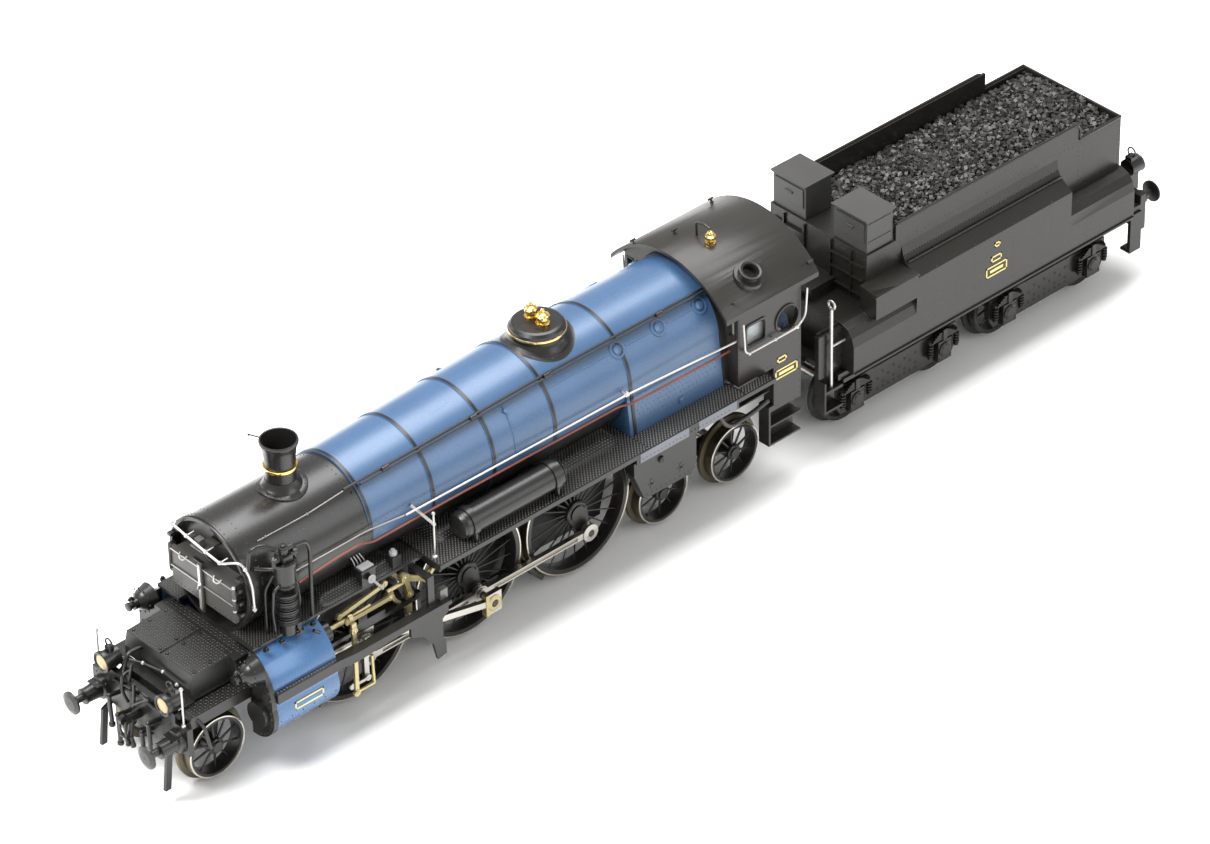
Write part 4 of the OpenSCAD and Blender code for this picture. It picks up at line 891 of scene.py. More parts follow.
def walkways():
    """Skins and tread of the two walkways, and the plates along their edges."""
    skin = Shape()
    walkway_skin(skin, (36, 59.2), (6.3, 12.55))
    walkway_skin(skin, (59.4, FIREBOX_X - 0.1), (6.3, BOARD_Y))
    piece("walkway_skin", skin.mirrored(), "plate_black", "running_boards")
    dots = Shape()
    walkway_dots(dots, (59.6, FIREBOX_X - 0.1), (6.3, BOARD_Y - 0.1), 0.66)
    walkway_dots(dots, (FIREBOX_X, CAB_X - 0.3), (FIREBOX_FOOT + 0.1, BOARD_Y - 0.1), 0.66)
    walkway_dots(dots, (CAB_X - 0.3, 138.5), (CAB_Y + 0.3, BOARD_Y - 0.1), 0.66)
    piece("wide_walkway_dots", dots.mirrored(), "board_mesh", "running_boards")
    studs = Shape()
    walkway_dots(studs, (22.4, 59.1), (6.9, 12.5), 0.6)
    piece("narrow_walkway_studs", studs.mirrored(), "plate_studs", "running_boards")
    edge = Shape()
    for k in range(24):
        if k != 12:
            edge.rivet((106.2 + k * 0.9, BOARD_Y + 0.08, BOARD_Z - 1.2), OUT, 0.15)
    piece("valance_rivets", edge.mirrored(), "satin_black", "running_boards")
    plates = Shape()
    for x in ([105.6, 117.2], [119.6, 128.8]):
        plates.block(x, [BOARD_Y - 0.01, BOARD_Y + 0.09], [BOARD_Z - 1.9, BOARD_Z - 0.1])
    piece("valance_plates", plates.mirrored(), "valance_grey", "running_boards")


def front_cover_dress():
    """Tread, seams and bolts of the box over the front of the frame."""
    x0, x1 = 12.2, 21.2
    low, high = 21.9, 22.3
    tread = Shape()
    for y in (-8.7, 0.1):
        tread_plate(tread, (x0, y, low + 0.03), (9, 0, 0.4), (0, 8.6, 0), 0.58)
    tread_plate(tread, (x1 + 0.1, -10.4, high), (2.2, 0, 0), (0, 20.8, 0), 0.58)
    for y in (9.1, -12.2):
        tread_plate(tread, (9, y, 16.9), (12, 0, 0), (0, 3.1, 0), 0.6)
    piece("cover_tread", tread, "plate_studs", "front_cover")
    seams = Shape()
    for x in (13, 16.5, 20):
        for y in (0.9, 8):
            seams.turned((x, y, low + (x - 12.1) * 0.044), UP, [(0, 0.34), (0.2, 0.3), (0.26, 0.01)], 10)
    for k in range(5):
        seams.rivet((13.4 + 1.8 * k, 8.8, 18), OUT, 0.14)
    seams.mirrored()
    seams.block([x0, x1], [-0.06, 0.06], [low + 0.05, low + 0.22])
    seams.slab([(x0, -0.08, low), (x1, -0.08, high), (x1, 0.08, high), (x0, 0.08, low)], (0, 0, 0.1))
    piece("cover_bolts", seams, "satin_black", "front_cover")


def brake_gear():
    """Brake shoes on hangers ahead of the driving wheels, with cross beams and pull rods."""
    shape = Shape()
    arc = [math.radians(204 + 26 * i / 8) for i in range(9)]
    beam = [3.9, 4.7]
    feet = [x - (DRIVER_R + 0.9) * math.cos(math.radians(37)) for x in DRIVERS]
    for x, foot in zip(DRIVERS, feet):
        rings = []
        for a in arc:
            outer, inner = ((x + r * math.cos(a), DRIVER_R + r * math.sin(a))
                            for r in (DRIVER_R + 1.2, DRIVER_R + 0.3))
            rings.append([(outer[0], 8.4, outer[1]), (outer[0], 9.8, outer[1]),
                          (inner[0], 9.8, inner[1]), (inner[0], 8.4, inner[1])])
        shape.rings(rings)
        shape.rod((foot, 6.6, 4.3), (foot, 9.4, 4.3), 0.4)
        shape.rod((foot - 0.4, 6.7, 4.3), (foot - 0.9, 6.7, 12.4), 0.35)
    shape.block([34.6, 88], [5.3, 5.9], beam)
    shape.mirrored()
    for foot in feet:
        shape.block([foot - 0.5, foot + 0.5], [-6.6, 6.6], beam)
    piece("brake_gear", shape, "wheel_black", "loco_frame")


# ---- Cylinders and motion --------------------------------------------------------------------


def cylinder_dress():
    """Cover bolts, tail-rod housings, number-plate frames and valves of the cylinders."""
    bolts = Shape()
    face = 21.4
    chest = Vector((0, 14, 21.4))
    for k in range(9):
        a = math.radians(8 + k * 9)
        y, z = 8 + 9.35 * math.cos(a), 15 + 9.35 * math.sin(a)
        if z < 23.3:
            bolts.rivet((face, y, z), AHEAD, 0.24, 0.22)
    for k in range(8):
        a = math.radians(-70 + k * 14)
        bolts.rivet((face, 12.4 + 4.9 * math.cos(a), 12.4 + 4.9 * math.sin(a)), AHEAD, 0.2, 0.18)
    bolts.rivet_ring(chest + Vector((19.6, 0, 0)), AHEAD, 2.25, 10, 0.22, 0.2)
    bolts.turned(chest + Vector((19.4, 0, 0)), AHEAD, [
        (0, 1.9), (0.5, 1.6), (1.0, 1.0), (1.6, 0.9), (1.7, 0.55), (2.4, 0.5), (2.5, 0.8), (2.9, 0.8),
        (3.0, 0.01)], 24)
    bolts.pipe([(18, 14, 22), (17.4, 14, 23.2), (16.8, 14, 22.6)], 0.28, 0.5)
    for k in range(4):
        bolts.turned((24 + k * 3.4, 13.6, 23.6), UP,
                     [(0, 0.55), (0.3, 0.5), (0.3, 0.3), (0.7, 0.28), (0.72, 0.01)], 12)
    piece("cylinder_bolts", bolts.mirrored(), "satin_black", "cylinder_covers")
    plate = Shape()
    plate_frame(plate, 29.4, 12.8, 17.56, 1.3, 6.0)
    piece("cylinder_plates", plate.mirrored(), "gold_print", "cylinders")
    seams = Shape()
    seams.rivet_line((23.2, 17.52, 11.2), (35.2, 17.52, 11.2), 6, OUT, 0.12, 0.08)
    seams.mirrored()
    seams.turned((31.4, -13.2, 23.7), UP, [
        (0, 0.9), (0.2, 0.9), (0.3, 0.6), (1.4, 0.55), (1.5, 0.75), (2.0, 0.7), (2.1, 0.01)], 20)
    piece("cylinder_seams", seams, "satin_black", "cylinders")


def motion_dress():
    """Turned pins, forks and oil cups on the valve gear."""
    gear = Shape()
    for x, y, z, r in ((41.2, 15.8, 19.6, 0.7), (41.2, 15.8, 6.6, 0.55), (50.6, 12.9, 23, 0.6),
                       (51.2, 13.6, 20.2, 0.6), (54.7, 13.4, 22.4, 0.85), (55.6, 13.6, 18.6, 0.65),
                       (59.6, 13.5, 19.8, 0.8)):
        gear.turned((x, y, z), OUT,
                    [(0, r), (0.14, r * 0.95), (0.16, r * 0.5), (0.3, r * 0.45), (0.33, 0.01)], 16)
    gear.rod((42.2, 13, 20.2), (47, 13, 20.6), 0.34)
    gear.turned((42, 13, 20.2), BACK, [(0, 0.8), (0.8, 0.8), (0.9, 0.5)], 16)
    gear.pipe([(52, 12.6, 21), (52.6, 12.6, 18.4), (55.4, 12.6, 15.6)], 0.42)
    gear.block([55, 56.2], [12.3, 13.1], [14.2, 18.6])
    gear.pipe([(60.4, 12.9, 20.2), (61.6, 12.6, 20.9), (62.8, 12.4, 20.6)], 0.6, 0.6)
    gear.rod((44.9, 15.5, 12.4), (45.1, 15.5, 6.6), 0.3)
    gear.rod((41.2, 15.6, 6.5), (45.1, 15.6, 6.5), 0.3)
    piece("valve_gear_pins", gear.mirrored(), "gear_brass", "valve_gear")
    tread = Shape()
    for j in range(3):
        y = 16.35 + j * 0.5
        tread.rivet_line((23, y, 17.4), (23 + 19 * 0.66, y, 17.4), 20, UP, 0.16, 0.08)
    tread.rivet_line((53.5, 17, 15.4), (59.5, 17, 15.4), 6, OUT, 0.17, 0.12)
    tread.block([59.4, 61], [15.9, 16.9], [16.6, 19.0])
    piece("step_studs", tread.mirrored(), "plate_studs", "motion_brackets")


def rod_ends(side, name):
    """Big-end brasses and oil cups at the crank pins of one side."""
    rod = f"coupling_rod_{name}"
    pin_z = station(rod).z
    shift = station(rod).x - DRIVERS[1]
    out = (0, side, 0)
    cups = Shape()
    for x in DRIVERS:
        wide = 1.75 if x == DRIVERS[2] else 1.3
        cups.turned((x + shift, side * 11.7, pin_z), out,
                    [(0, wide), (0.16, wide - 0.05), (0.2, 0.95), (0.28, 0.9), (0.3, 0.72)], 24, ring=True)
        cups.turned((x + shift, side * 11.15, pin_z + 1.5), UP,
                    [(0, 0.4), (0.5, 0.4), (0.55, 0.2), (0.75, 0.2), (0.78, 0.01)], 12)
    piece(f"coupling_cups_{name}", cups, "rod_steel", rod)
    big = Shape()
    x = DRIVERS[1] + shift
    big.turned((x, side * 15, pin_z), out,
               [(0, 1.6), (0.12, 1.6), (0.2, 1.35), (0.25, 1.3), (0.25, 0.75)], 28, ring=True)
    big.block([x - 1.9, x - 1.1], [side * 13.9, side * 15.1], [pin_z - 2.2, pin_z + 2.2])
    piece(f"main_rod_strap_{name}", big, "gear_brass", f"main_rod_{name}")


def motion():
    """Everything that dresses the cylinders, the valve gear and the rods."""
    cylinder_dress()
    motion_dress()
    rod_ends(-1, "left")
    rod_ends(1, "right")


# ---- Front end -------------------------------------------------------------------------------


def front_end():
    """Bolts, hoses, levers and the bar on the buffer beam, and the chain of the hook."""
    beam, y = 7.2, BUFFER_Y
    bolts = Shape()
    for edge in (1.6, 6.4, 8.2, 11.5):
        for z in (10.4, 14.4):
            bolts.rivet((beam, edge, z), AHEAD, 0.2, 0.15)
    bolts.turned((beam, y, BUFFER_Z), AHEAD, [(0, 2.2), (0.4, 2.15), (0.5, 1.7)], 24)
    for dy in (-1.5, 1.5):
        for dz in (-1.5, 1.5):
            bolts.rivet((6.75, y + dy, BUFFER_Z + dz), AHEAD, 0.25, 0.22)
    bolts.block([5, 6.8], [y - 1.4, y + 1.4], [13.3, 13.5])
    bolts.turned((3.4, y, BUFFER_Z), AHEAD, [(0, 1.3), (0.2, 1.5), (0.5, 1.5), (0.6, 1.2)], 24)
    bolts.pipe([(7, 4.6, 15.4), (6.5, 3, 16.6), (6.6, 1.2, 16.8)], 0.25)
    bolts.rod((beam, 6.6, 15.4), (9.6, 6.6, 17.4), 0.3)
    bolts.pipe([(9.4, 11.7, 16.8), (10.4, 13.2, 14.8), (11.4, 13.2, 9.6), (13, 12, 8.8)], 0.35)
    bolts.mirrored()
    bolts.rod((6.9, -6.4, 15.7), (6.9, 6.4, 15.7), 0.28)
    bolts.rod((6.6, -3.6, 17.2), (6.4, 1.2, 13.4), 0.3)
    bolts.rod((6.6, 0.4, 18.2), (6.4, 0.6, 13.4), 0.32)
    bolts.pipe([(8.4, 3.4, 18.4), (6.8, 3.6, 18.2), (6.2, 3.4, 15.2), (6.6, 2.4, 13.2)], 0.34)
    bar = [(8.6, 5.6, 19.9), (10, 2.0, 19.9), (11, -2.1, 19.8), (11, -6.2, 19.6)]
    for a, b in zip(bar, bar[1:]):
        bolts.rod(a, b, 0.22)
    bolts.pipe([(11.8, 4.6, 20.8), (9.2, 4.8, 21.0), (8.0, 4.6, 18.8), (7.6, 4.4, 15.8)], 0.34, 1.2)
    bolts.rod((8.2, 2.6, 20.4), (7.0, 2.9, 15.2), 0.3)
    bolts.rod((8.2, 2.6, 15.9), (8.2, -5.4, 16.1), 0.22)
    piece("beam_fittings", bolts, "satin_black", "front_beam")
    knobs = Shape()
    for p in (bar[1], bar[2], (10.6, -6.2, 19.6)):
        knobs.ball(p, 0.36)
    piece("front_bar_knobs", knobs, "rail_white", "front_beam")
    links = Shape()
    links.pipe([(3.6, 0.6, 12.4), (3.2, 0.8, 10.8), (3.6, 0.6, 9)], 0.24)
    for y, z in ((5.2, 7.4), (3.2, 4.6)):
        links.turned((4.95, y, z), UP, [(0, 0.42), (0.2, 0.6), (0.7, 0.6), (0.9, 0.42), (1.5, 0.42)], 14)
    links.mirrored()
    links.rod((3.6, -0.9, 9), (3.6, 0.9, 9), 0.4)
    links.rod((3.6, 0, 9), (4.2, 0, 7.2), 0.35)
    links.ball((4.2, 0, 7), 0.5)
    piece("coupling_links", links, "satin_black", "front_hoses")


def lamp_glow():
    """Rim, reflector and domed lens of each headlamp."""
    y, z = 8.1, 18.8
    rims = Shape()
    rims.turned((5.9, y, z), AHEAD, [(0, 1.55), (0.12, 1.6), (0.2, 1.85), (0.1, 2.0), (-0.5, 2.0)], 32)
    piece("lamp_rims", rims.mirrored(), "satin_black", "headlamps")
    shape = Shape()
    shape.turned((6.6, y, z), AHEAD, [(-0.4, 0.1), (-0.3, 0.7), (0.0, 1.2), (0.35, 1.48), (0.38, 1.5)], 24)
    piece("lamp_reflectors", shape.mirrored(), "tyre_steel", "headlamps")
    domes = Shape()
    domes.turned((6.03, y, z), AHEAD, [(0, 1.5), (0.12, 1.4), (0.3, 0.9), (0.36, 0.01)], 24)
    piece("lamp_lens_domes", domes.mirrored(), "lamp_glass", "headlamp_lenses")


# ---- Cab -------------------------------------------------------------------------------------


def plate_frame(shape, x, z, y, height, width):
    """Thin raised frame standing for a number plate, centred on a station and a height."""
    across, up, t = width / 2, height / 2, 0.14
    corners = [(-across, -up), (across, -up), (across, up), (-across, up)]
    for (a0, b0), (a1, b1) in zip(corners, corners[1:] + corners[:1]):
        shape.block([x + min(a0, a1) - t, x + max(a0, a1) + t], [y - 0.05, y + 0.05],
                    [z + min(b0, b1) - t, z + max(b0, b1) + t])


def cab_dress():
    """Rivets, window frames and number-plate frames on the cab sides."""
    y = CAB_Y
    rivets = Shape()
    rivets.rivet_line((CAB_X + 0.4, y, 25.4), (CAB_X + 0.4, y, 38.6), 15, OUT, 0.14)
    rivets.rivet_line((CAB_X + 1, y, 39), (146.6, y, 39), 17, OUT, 0.13)
    rivets.rivet_line((CAB_X + 1, y, 25.1), (139.8, y, 25.1), 9, OUT, 0.13)
    rivets.rivet_line((140.8, y, 16), (140.8, y, 24.4), 9, OUT, 0.13)
    rivets.rivet_line((146.8, y, 16), (146.8, y, 30), 12, OUT, 0.12)
    piece("cab_rivets", rivets.mirrored(), "cab_grey", "cab_body")
    frames = Shape()
    rounded_frame(frames, (133.5, 138.5), (31.8, 36.5), y)
    rim = [(-0.05, 2.95), (0.25, 2.9), (0.3, 2.6), (-0.05, 2.55)]
    frames.turned((143.6, y, 33.6), OUT, rim, 40, ring=True)
    front = [CAB_X - 0.1, CAB_X + 0.02]
    for z in (34.3, 38.6):
        frames.block(front, [12.2, 13.9], [z, z + 0.2])
    for edge in (12.25, 13.85):
        frames.block(front, [edge - 0.12, edge + 0.12], [34.3, 38.8])
    piece("window_frames", frames.mirrored(), "cab_grey", "cab_body")
    plates = Shape()
    plate_frame(plates, 143.5, 22.4, y + 0.04, 1.7, 5.2)
    plates.block([141.7, 145.3], [y, y + 0.08], [22.1, 22.7])
    plate_frame(plates, 142.4, 25.4, y + 0.04, 0.9, 2.0)
    piece("cab_plates", plates.mirrored(), "gold_print", "cab_body")


def cab_interior():
    """Floor, boiler backhead with its dials and valves, and the two seats."""
    floor = Shape()
    floor.turned((134.4, 3.6, 31), BACK, [(0, 0.9), (0.4, 0.9), (0.45, 0.01)], 20)
    floor.block([139, 142.6], [8.5, 12.3], [22, 22.6])
    floor.block([140.2, 141.2], [9.8, 11], [19.2, 22])
    floor.mirrored()
    floor.block([124, 138.4], [-12.6, 12.6], [20.2, 23.4])
    floor.block([132.6, 147], [-13.8, 13.8], [19, 19.25])
    floor.block([132.5, 134.4], [-6, 6], [19.2, 33])
    floor.turned((134.4, 0, 27.5), BACK, [(0, 2.2), (0.3, 2.1), (0.4, 1.2), (0.7, 1.1), (0.75, 0.01)], 28)
    floor.pipe([(133.4, -2, 33.4), (134.6, -2, 34.4), (135.2, -6, 34.2)], 0.28)
    floor.pipe([(133.4, 2.4, 29), (135.4, 2.4, 29.6), (135.6, 4, 30.2)], 0.24)
    piece("cab_interior", floor, "satin_black", "cab_body")


def rounded_frame(shape, x, z, y):
    """Window frame with rounded corners, standing a little proud."""
    r = 0.9
    centres = [(x[1] - r, z[1] - r), (x[0] + r, z[1] - r), (x[0] + r, z[0] + r), (x[1] - r, z[0] + r)]
    rings = []
    for quarter, (cx, cz) in enumerate(centres):
        for k in range(6):
            a = math.radians(90 * quarter + 18 * k)
            rings.append([(cx + (r + d) * math.cos(a), y + lift, cz + (r + d) * math.sin(a))
                          for d, lift in ((-0.3, 0), (-0.3, 0.2), (0.18, 0.2), (0.18, 0))])
    shape.rings(rings, close=True)


def on_roof(x, y, lift=0.0):
    """Point on the cab roof."""
    return (x, y, ROOF_AXIS + math.sqrt(ROOF_R ** 2 - y * y) + lift)


def roof_dress():
    """Hooks, whistle pipe, rivets and vent rim on the cab roof."""
    shape = Shape()
    for x, y in ((134.6, 4.4), (131.9, -13.4), (150.1, -13.3), (128.9, 8.9), (147.9, 8.9), (140.5, -10.2)):
        p = Vector(on_roof(x, y, -0.1))
        n = Vector((0, p.y, p.z - ROOF_AXIS)).normalized()
        shape.turned(p, n, [(0, 0.35), (0.3, 0.33), (0.35, 0.2), (0.9, 0.2)], 12)
        bar = Vector((0.6, 0, 0))
        shape.rod(p + n * 0.8 - bar, p + n * 0.8 + bar, 0.2)
    shape.pipe([(136.5, 0.8, 47.0), (136.4, 0.8, 49.9), (136.5, -1.2, 50.3), (136.6, -2.5, 50.0)], 0.22, 0.3)
    shape.rivet_line(on_roof(136.8, -13.6), on_roof(149.4, -13.6), 14, (0, -1, 1), 0.1, 0.06)
    for k in range(17):
        y = -12.8 + k * 1.6
        shape.rivet(on_roof(150.8, y), (0, y, 15), 0.1, 0.06)
    piece("roof_fittings", shape, "cab_grey", "cab_roof")
    vent = Shape()
    tilt = math.radians(24)
    vent.turned((137.4, -10.4, 41.8), (0, -math.sin(tilt), math.cos(tilt)), [
        (2.2, 2.9), (2.75, 2.75), (2.8, 2.15), (3.8, 2.1), (4.05, 2.15), (4.1, 1.95), (4.0, 1.6),
        (2.4, 1.5)], 40, ring=True)
    piece("roof_vent_rim", vent, "satin_black", "cab_roof")


def crew():
    """Small standing figure with cap, jacket and an arm on the window sill."""
    x, y = 144.6, -11.2
    body = Shape()
    for leg in (y - 0.9, y + 0.9):
        body.turned((x, leg, 19.4), UP, [(0, 0.9), (0.8, 0.75), (3.5, 0.8), (6.6, 1.05)], 14)
        body.ball((x - 0.3, leg, 19.5), 0.85, stretch=(1.5, 1, 0.6))
    coat = [(0, 1.7), (0.6, 1.95), (2.4, 1.75), (4.6, 2.0), (6.0, 1.8), (6.7, 0.9)]
    body.turned((x, y, 25.6), UP, coat, 20)
    body.pipe([(x, y - 1.6, 31.4), (x - 0.6, y - 2.3, 29.2), (x - 1.8, y - 2.4, 30.9)], 0.55, 0.8)
    body.pipe([(x, y + 1.6, 31.4), (x - 0.4, y + 2.2, 28.8), (x - 1.6, y + 1.6, 27.4)], 0.55, 0.8)
    body.turned((x, y, 35.8), UP, [(-0.2, 1.28), (0.4, 1.42), (0.9, 1.3), (1.1, 0.5)], 20)
    peak = [(x - 2.0, y - 0.8, 35.7), (x - 2.0, y + 0.8, 35.7), (x - 0.9, y + 1.2, 35.8),
            (x - 0.9, y - 1.2, 35.8)]
    body.slab(peak, (0, 0, 0.14))
    piece("figure_clothes", body, "cloth_blue", "driver_figure", stands_for=["driver_figure"])
    flesh = Shape()
    flesh.ball((x, y, 34.6), 1.25, 16, stretch=(1, 0.88, 1.15))
    flesh.rod((x, y, 32), (x, y, 33.8), 0.6)
    flesh.ball((x - 1.25, y, 34.4), 0.26)
    for hand in ((x - 2.1, y - 2.4, 31.1), (x - 1.8, y + 1.5, 27.2)):
        flesh.ball(hand, 0.45)
    for ear in (y - 1.1, y + 1.1):
        flesh.ball((x, ear, 34.5), 0.26)
    piece("figure_head", flesh, "skin", "driver_figure")


# ---- Tender ----------------------------------------------------------------------------------


def tender_rivets():
    """Rivet rows on the tank sides, the bunker and both ends, in a lighter grey than the tank: painted
    highlights where the rivet heads catch the light.
    """
    y, bunker = TANK_Y, BUNKER_Y
    rivets = Shape()
    for x in (163.8, 172.2, 179.6, 189.5, 199.6, 209.6, 219.4, 228.8):
        top, count = (28.6, 13) if 174.6 < x < 215.2 else (20.4, 6)
        rivets.rivet_line((x, y, 15.6), (x, y, top), count, OUT, 0.13, 0.08)
    rivets.rivet_line((159.2, y, 15.4), (231.8, y, 15.4), 68, OUT, 0.13, 0.08)
    rivets.rivet_line((175.2, y, 27.9), (214.6, y, 27.9), 38, OUT, 0.12, 0.07)
    rivets.rivet_line((175.2, 13, 31.4), (214.8, 13, 31.4), 56, (0, 1, 1), 0.14, 0.09)
    for x in (221.0, 222.2, 231.6):
        rivets.rivet_line((x, bunker, 25.2), (x, bunker, 34.6), 10, OUT, 0.12, 0.08)
    rivets.rivet_line((216, bunker, 34.4), (231.4, bunker, 34.4), 15, OUT, 0.12, 0.08)
    rivets.rivet_line((175.2, bunker, 34.6), (214.6, bunker, 34.6), 38, OUT, 0.12, 0.08)
    rivets.mirrored()
    for z in (16, 24, 34):
        for x, out in ((232.4, BACK), (165.8, AHEAD)):
            rivets.rivet_line((x, -11.7, z), (x, 11.7, z), 14, out, 0.13, 0.08)
    # The lighter grey on these rivets is painted highlight on their heads.
    piece("tender_rivets", rivets, "toolbox_grey", "tender_body")


def tender_trim():
    """Beading, steps, ladder and door frames of the tank and bunker."""
    bunker, foot = BUNKER_Y, 16.6
    trim = Shape()
    trim.pipe([(173.2, bunker, 38.7), (220, bunker, 38.7), (221.2, bunker, 37.6), (221.2, bunker, 35.6)],
              0.28, 0.8)
    trim.pipe([(221, bunker, 35.3), (232.2, bunker, 35.3)], 0.28)
    trim.block([174.9, 215], [13.8, 14], [30.2, 30.6])
    trim.pipe([(159, foot, 14.9), (232.2, foot, 14.9)], 0.22)
    lid = [(164.1, bunker, 29.6), (175.1, bunker, 29.6), (175.1, 16.7, 28.9), (164.1, 16.7, 28.9)]
    trim.slab(lid, (0, 0, 0.16))
    trim.block([153.0, 158.4], [12.5, 12.7], [24, 24.6])
    for z in (26.2, 29.4, 32.4):
        trim.block([165.2, 165.8], [3.4, 11.6], [z, z + 0.25])
    for y in (3.4, 8.6):
        trim.block([165.3, 165.8], [y - 0.15, y + 0.15], [25.4, 34.6])
    trim.pipe([(232.4, 2.1, 35), (233, 2.1, 34.4), (233, 2.1, 16), (232.4, 2.1, 15.4)], 0.24, 0.5)
    trim.mirrored()
    for low in (-foot, 15.4):
        trim.block([163.9, 175.2], [low, low + 1.15], [28.7, 28.95])
    trim.pipe([(232.1, -12.3, 35.3), (232.1, 12.3, 35.3)], 0.28)
    for k in range(6):
        z = 17.5 + 3 * k
        trim.rod((233, -2.1, z), (233, 2.1, z), 0.22)
    piece("tender_trim", trim, "tender_grey", "tender_body")


def tender_plates():
    """Number-plate frames on the tank and lids, doors and hasps on the two toolboxes."""
    y = TANK_Y
    plates = Shape()
    plate_frame(plates, 195.3, 20.6, y + 0.04, 1.9, 5.2)
    plates.block([193.6, 197.0], [y, y + 0.08], [20.3, 20.9])
    plate_frame(plates, 195.2, 23.1, y + 0.04, 1.0, 2.4)
    plate_frame(plates, 195.4, 26.0, y + 0.04, 0.7, 1.2)
    piece("tender_plates", plates.mirrored(), "gold_print", "tender_body")
    lids = Shape()
    lids.block([165.7, 173.2], [3.3, 12.3], [42.2, 42.45])
    lids.block([166.0, 166.2], [4.2, 11.4], [37.4, 41.3])
    for z in (37.4, 41.2):
        lids.block([166.6, 172.3], [11.9, 12.1], [z, z + 0.2])
    lids.rod((166, 6.9, 39.6), (166, 8.7, 39.6), 0.24)
    piece("toolbox_lids", lids.mirrored(), "toolbox_grey", "toolboxes")


def coal():
    """Loose lumps over a rising heap."""
    rng = random.Random(7)
    low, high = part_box("coal_load")
    x0, x1 = (low.x - FRONT) / MM, (high.x - FRONT) / MM
    edge = high.y / MM
    bed = Shape()
    bed.block([x0, x1], [-edge, edge], [30.2, 33.2])
    for i in range(COAL_ROWS):
        for j in range(COAL_COLUMNS):
            x = x0 + (i + 0.5) * (x1 - x0) / COAL_ROWS + rng.uniform(-0.3, 0.3)
            y = -edge + (j + 0.5) * 2 * edge / COAL_COLUMNS + rng.uniform(-0.3, 0.3)
            if abs(y) > edge - 0.3 or not x0 + 0.3 < x < x1 - 0.3:
                continue
            z = 33.9 + 1.3 * math.cos(y / edge * 1.4) + rng.uniform(-0.3, 0.3)
            lump(bed, (x, y, z), rng.uniform(0.32, 0.52), rng)
    piece("coal_lumps", bed, "coal", "coal_load", sharp=10, stands_for=["coal_load"])


def lump(shape, centre, r, rng):
    """Angular lump: a cube with its corners pushed at random."""
    angle = rng.uniform(0, 3.1)
    axis = Vector((rng.uniform(-1, 1), rng.uniform(-1, 1), 1)).normalized()
    turn = Matrix.Rotation(angle, 3, axis)
    corners = []
    for dz in (-1, 1):
        for dx, dy in ((-1, -1), (1, -1), (1, 1), (-1, 1)):
            v = Vector((dx * rng.uniform(0.55, 1), dy * rng.uniform(0.55, 1), dz * rng.uniform(0.5, 0.95)))
            corners.append(Vector(centre) + turn @ (v * r))
    quads = ((0, 3, 2, 1), (4, 5, 6, 7), (0, 1, 5, 4), (1, 2, 6, 5), (2, 3, 7, 6), (3, 0, 4, 7))
    shape.add(corners, [f for a, b, c, d in quads for f in ((a, b, c), (a, c, d))])


def bogie_dress(number):
    """Axlebox covers, springs and punched side plates; the punched holes are near-black discs, painted shade
    for the insides of the holes.
    """
    node = f"tender_bogie_{number}"
    centre = station(node).x
    middle = 12.9
    shape = Shape()
    for x in (centre - 11.3, centre + 11.3):
        shape.turned((x, 13.4, 6), OUT, [(0, 1.5), (0.2, 1.5), (0.3, 1.2), (0.45, 1.1), (0.5, 0.01)], 20)
        for k in range(5):
            half, z = 3.4 - 0.5 * k, 8.3 + 0.34 * k
            shape.block([x - half, x + half], [12.5, 13.3], [z, z + 0.26])
        shape.block([x - 0.5, x + 0.5], [12.3, 13.5], [8.2, 10.4])
        for dx in (-3.4, 3.4):
            shape.turned((x + dx, middle, 5.2), UP, [(0, 0.5), (0.4, 0.5), (0.5, 0.25), (3.6, 0.25)], 10)
            for k in range(4):
                coil = (x + dx, middle, 5.8 + 0.6 * k)
                shape.turned(coil, UP, [(0, 0.3), (0.1, 0.6), (0.3, 0.6), (0.4, 0.3)], 12)
        for dx in (-1.4, 1.4):
            for z in (4.2, 7.4):
                shape.rivet((x + dx, 13.4, z), OUT, 0.2, 0.15)
    shape.mirrored()
    for low in (-12.15, 12.05):
        shape.block([centre - 5.8, centre + 5.8], [low, low + 0.15], [9.2, 9.5])
    piece(f"bogie_details_{number}", shape, "tender_grey", node)
    # Near-black discs stand for the punched holes: painted shade of the hollows behind the plate.
    holes = Shape()
    for row in range(4):
        for k in range(8):
            if row == 0 or (row + k) % 2 == 0:
                holes.turned((centre - 4.9 + k * 1.4, 12.06, 4.4 + row * 1.1), OUT,
                             [(0, 0.3), (0.08, 0.3), (0.08, 0.01)], 12)
    piece(f"bogie_hole_shade_{number}", holes.mirrored(), "hole_shade_black", node)


def rear_end():
    """Bolts and buffer flanges of the rear beam, and the rear lamps' rims and lenses."""
    beam, lamp_y, lamp_z = 237.8, 9.4, 19.8
    shape = Shape()
    for y in (7.4, 12.4):
        for z in (10, 15.6):
            shape.rivet((beam, y, z), BACK, 0.22, 0.15)
    shape.turned((beam, BUFFER_Y, BUFFER_Z), BACK, [(0, 2.3), (0.4, 2.2), (0.5, 1.7)], 24)
    shape.turned((240.8, lamp_y, lamp_z), BACK, [(0, 1.7), (0.3, 1.8), (0.35, 1.5), (0.1, 1.4)], 24)
    piece("rear_beam_bolts", shape.mirrored(), "satin_black", "rear_fittings")
    lens = Shape()
    lens.turned((240.85, lamp_y, lamp_z), BACK, [(0, 1.4), (0.15, 1.3), (0.3, 0.8), (0.36, 0.01)], 24)
    piece("rear_lamp_lenses", lens.mirrored(), "lamp_glass", "rear_fittings")


def tender():
    """Everything that dresses the tender."""
    tender_rivets()
    tender_trim()
    tender_plates()
    coal()
    bogie_dress(1)
    bogie_dress(2)
    rear_end()


# ---- Handrails -------------------------------------------------------------------------------


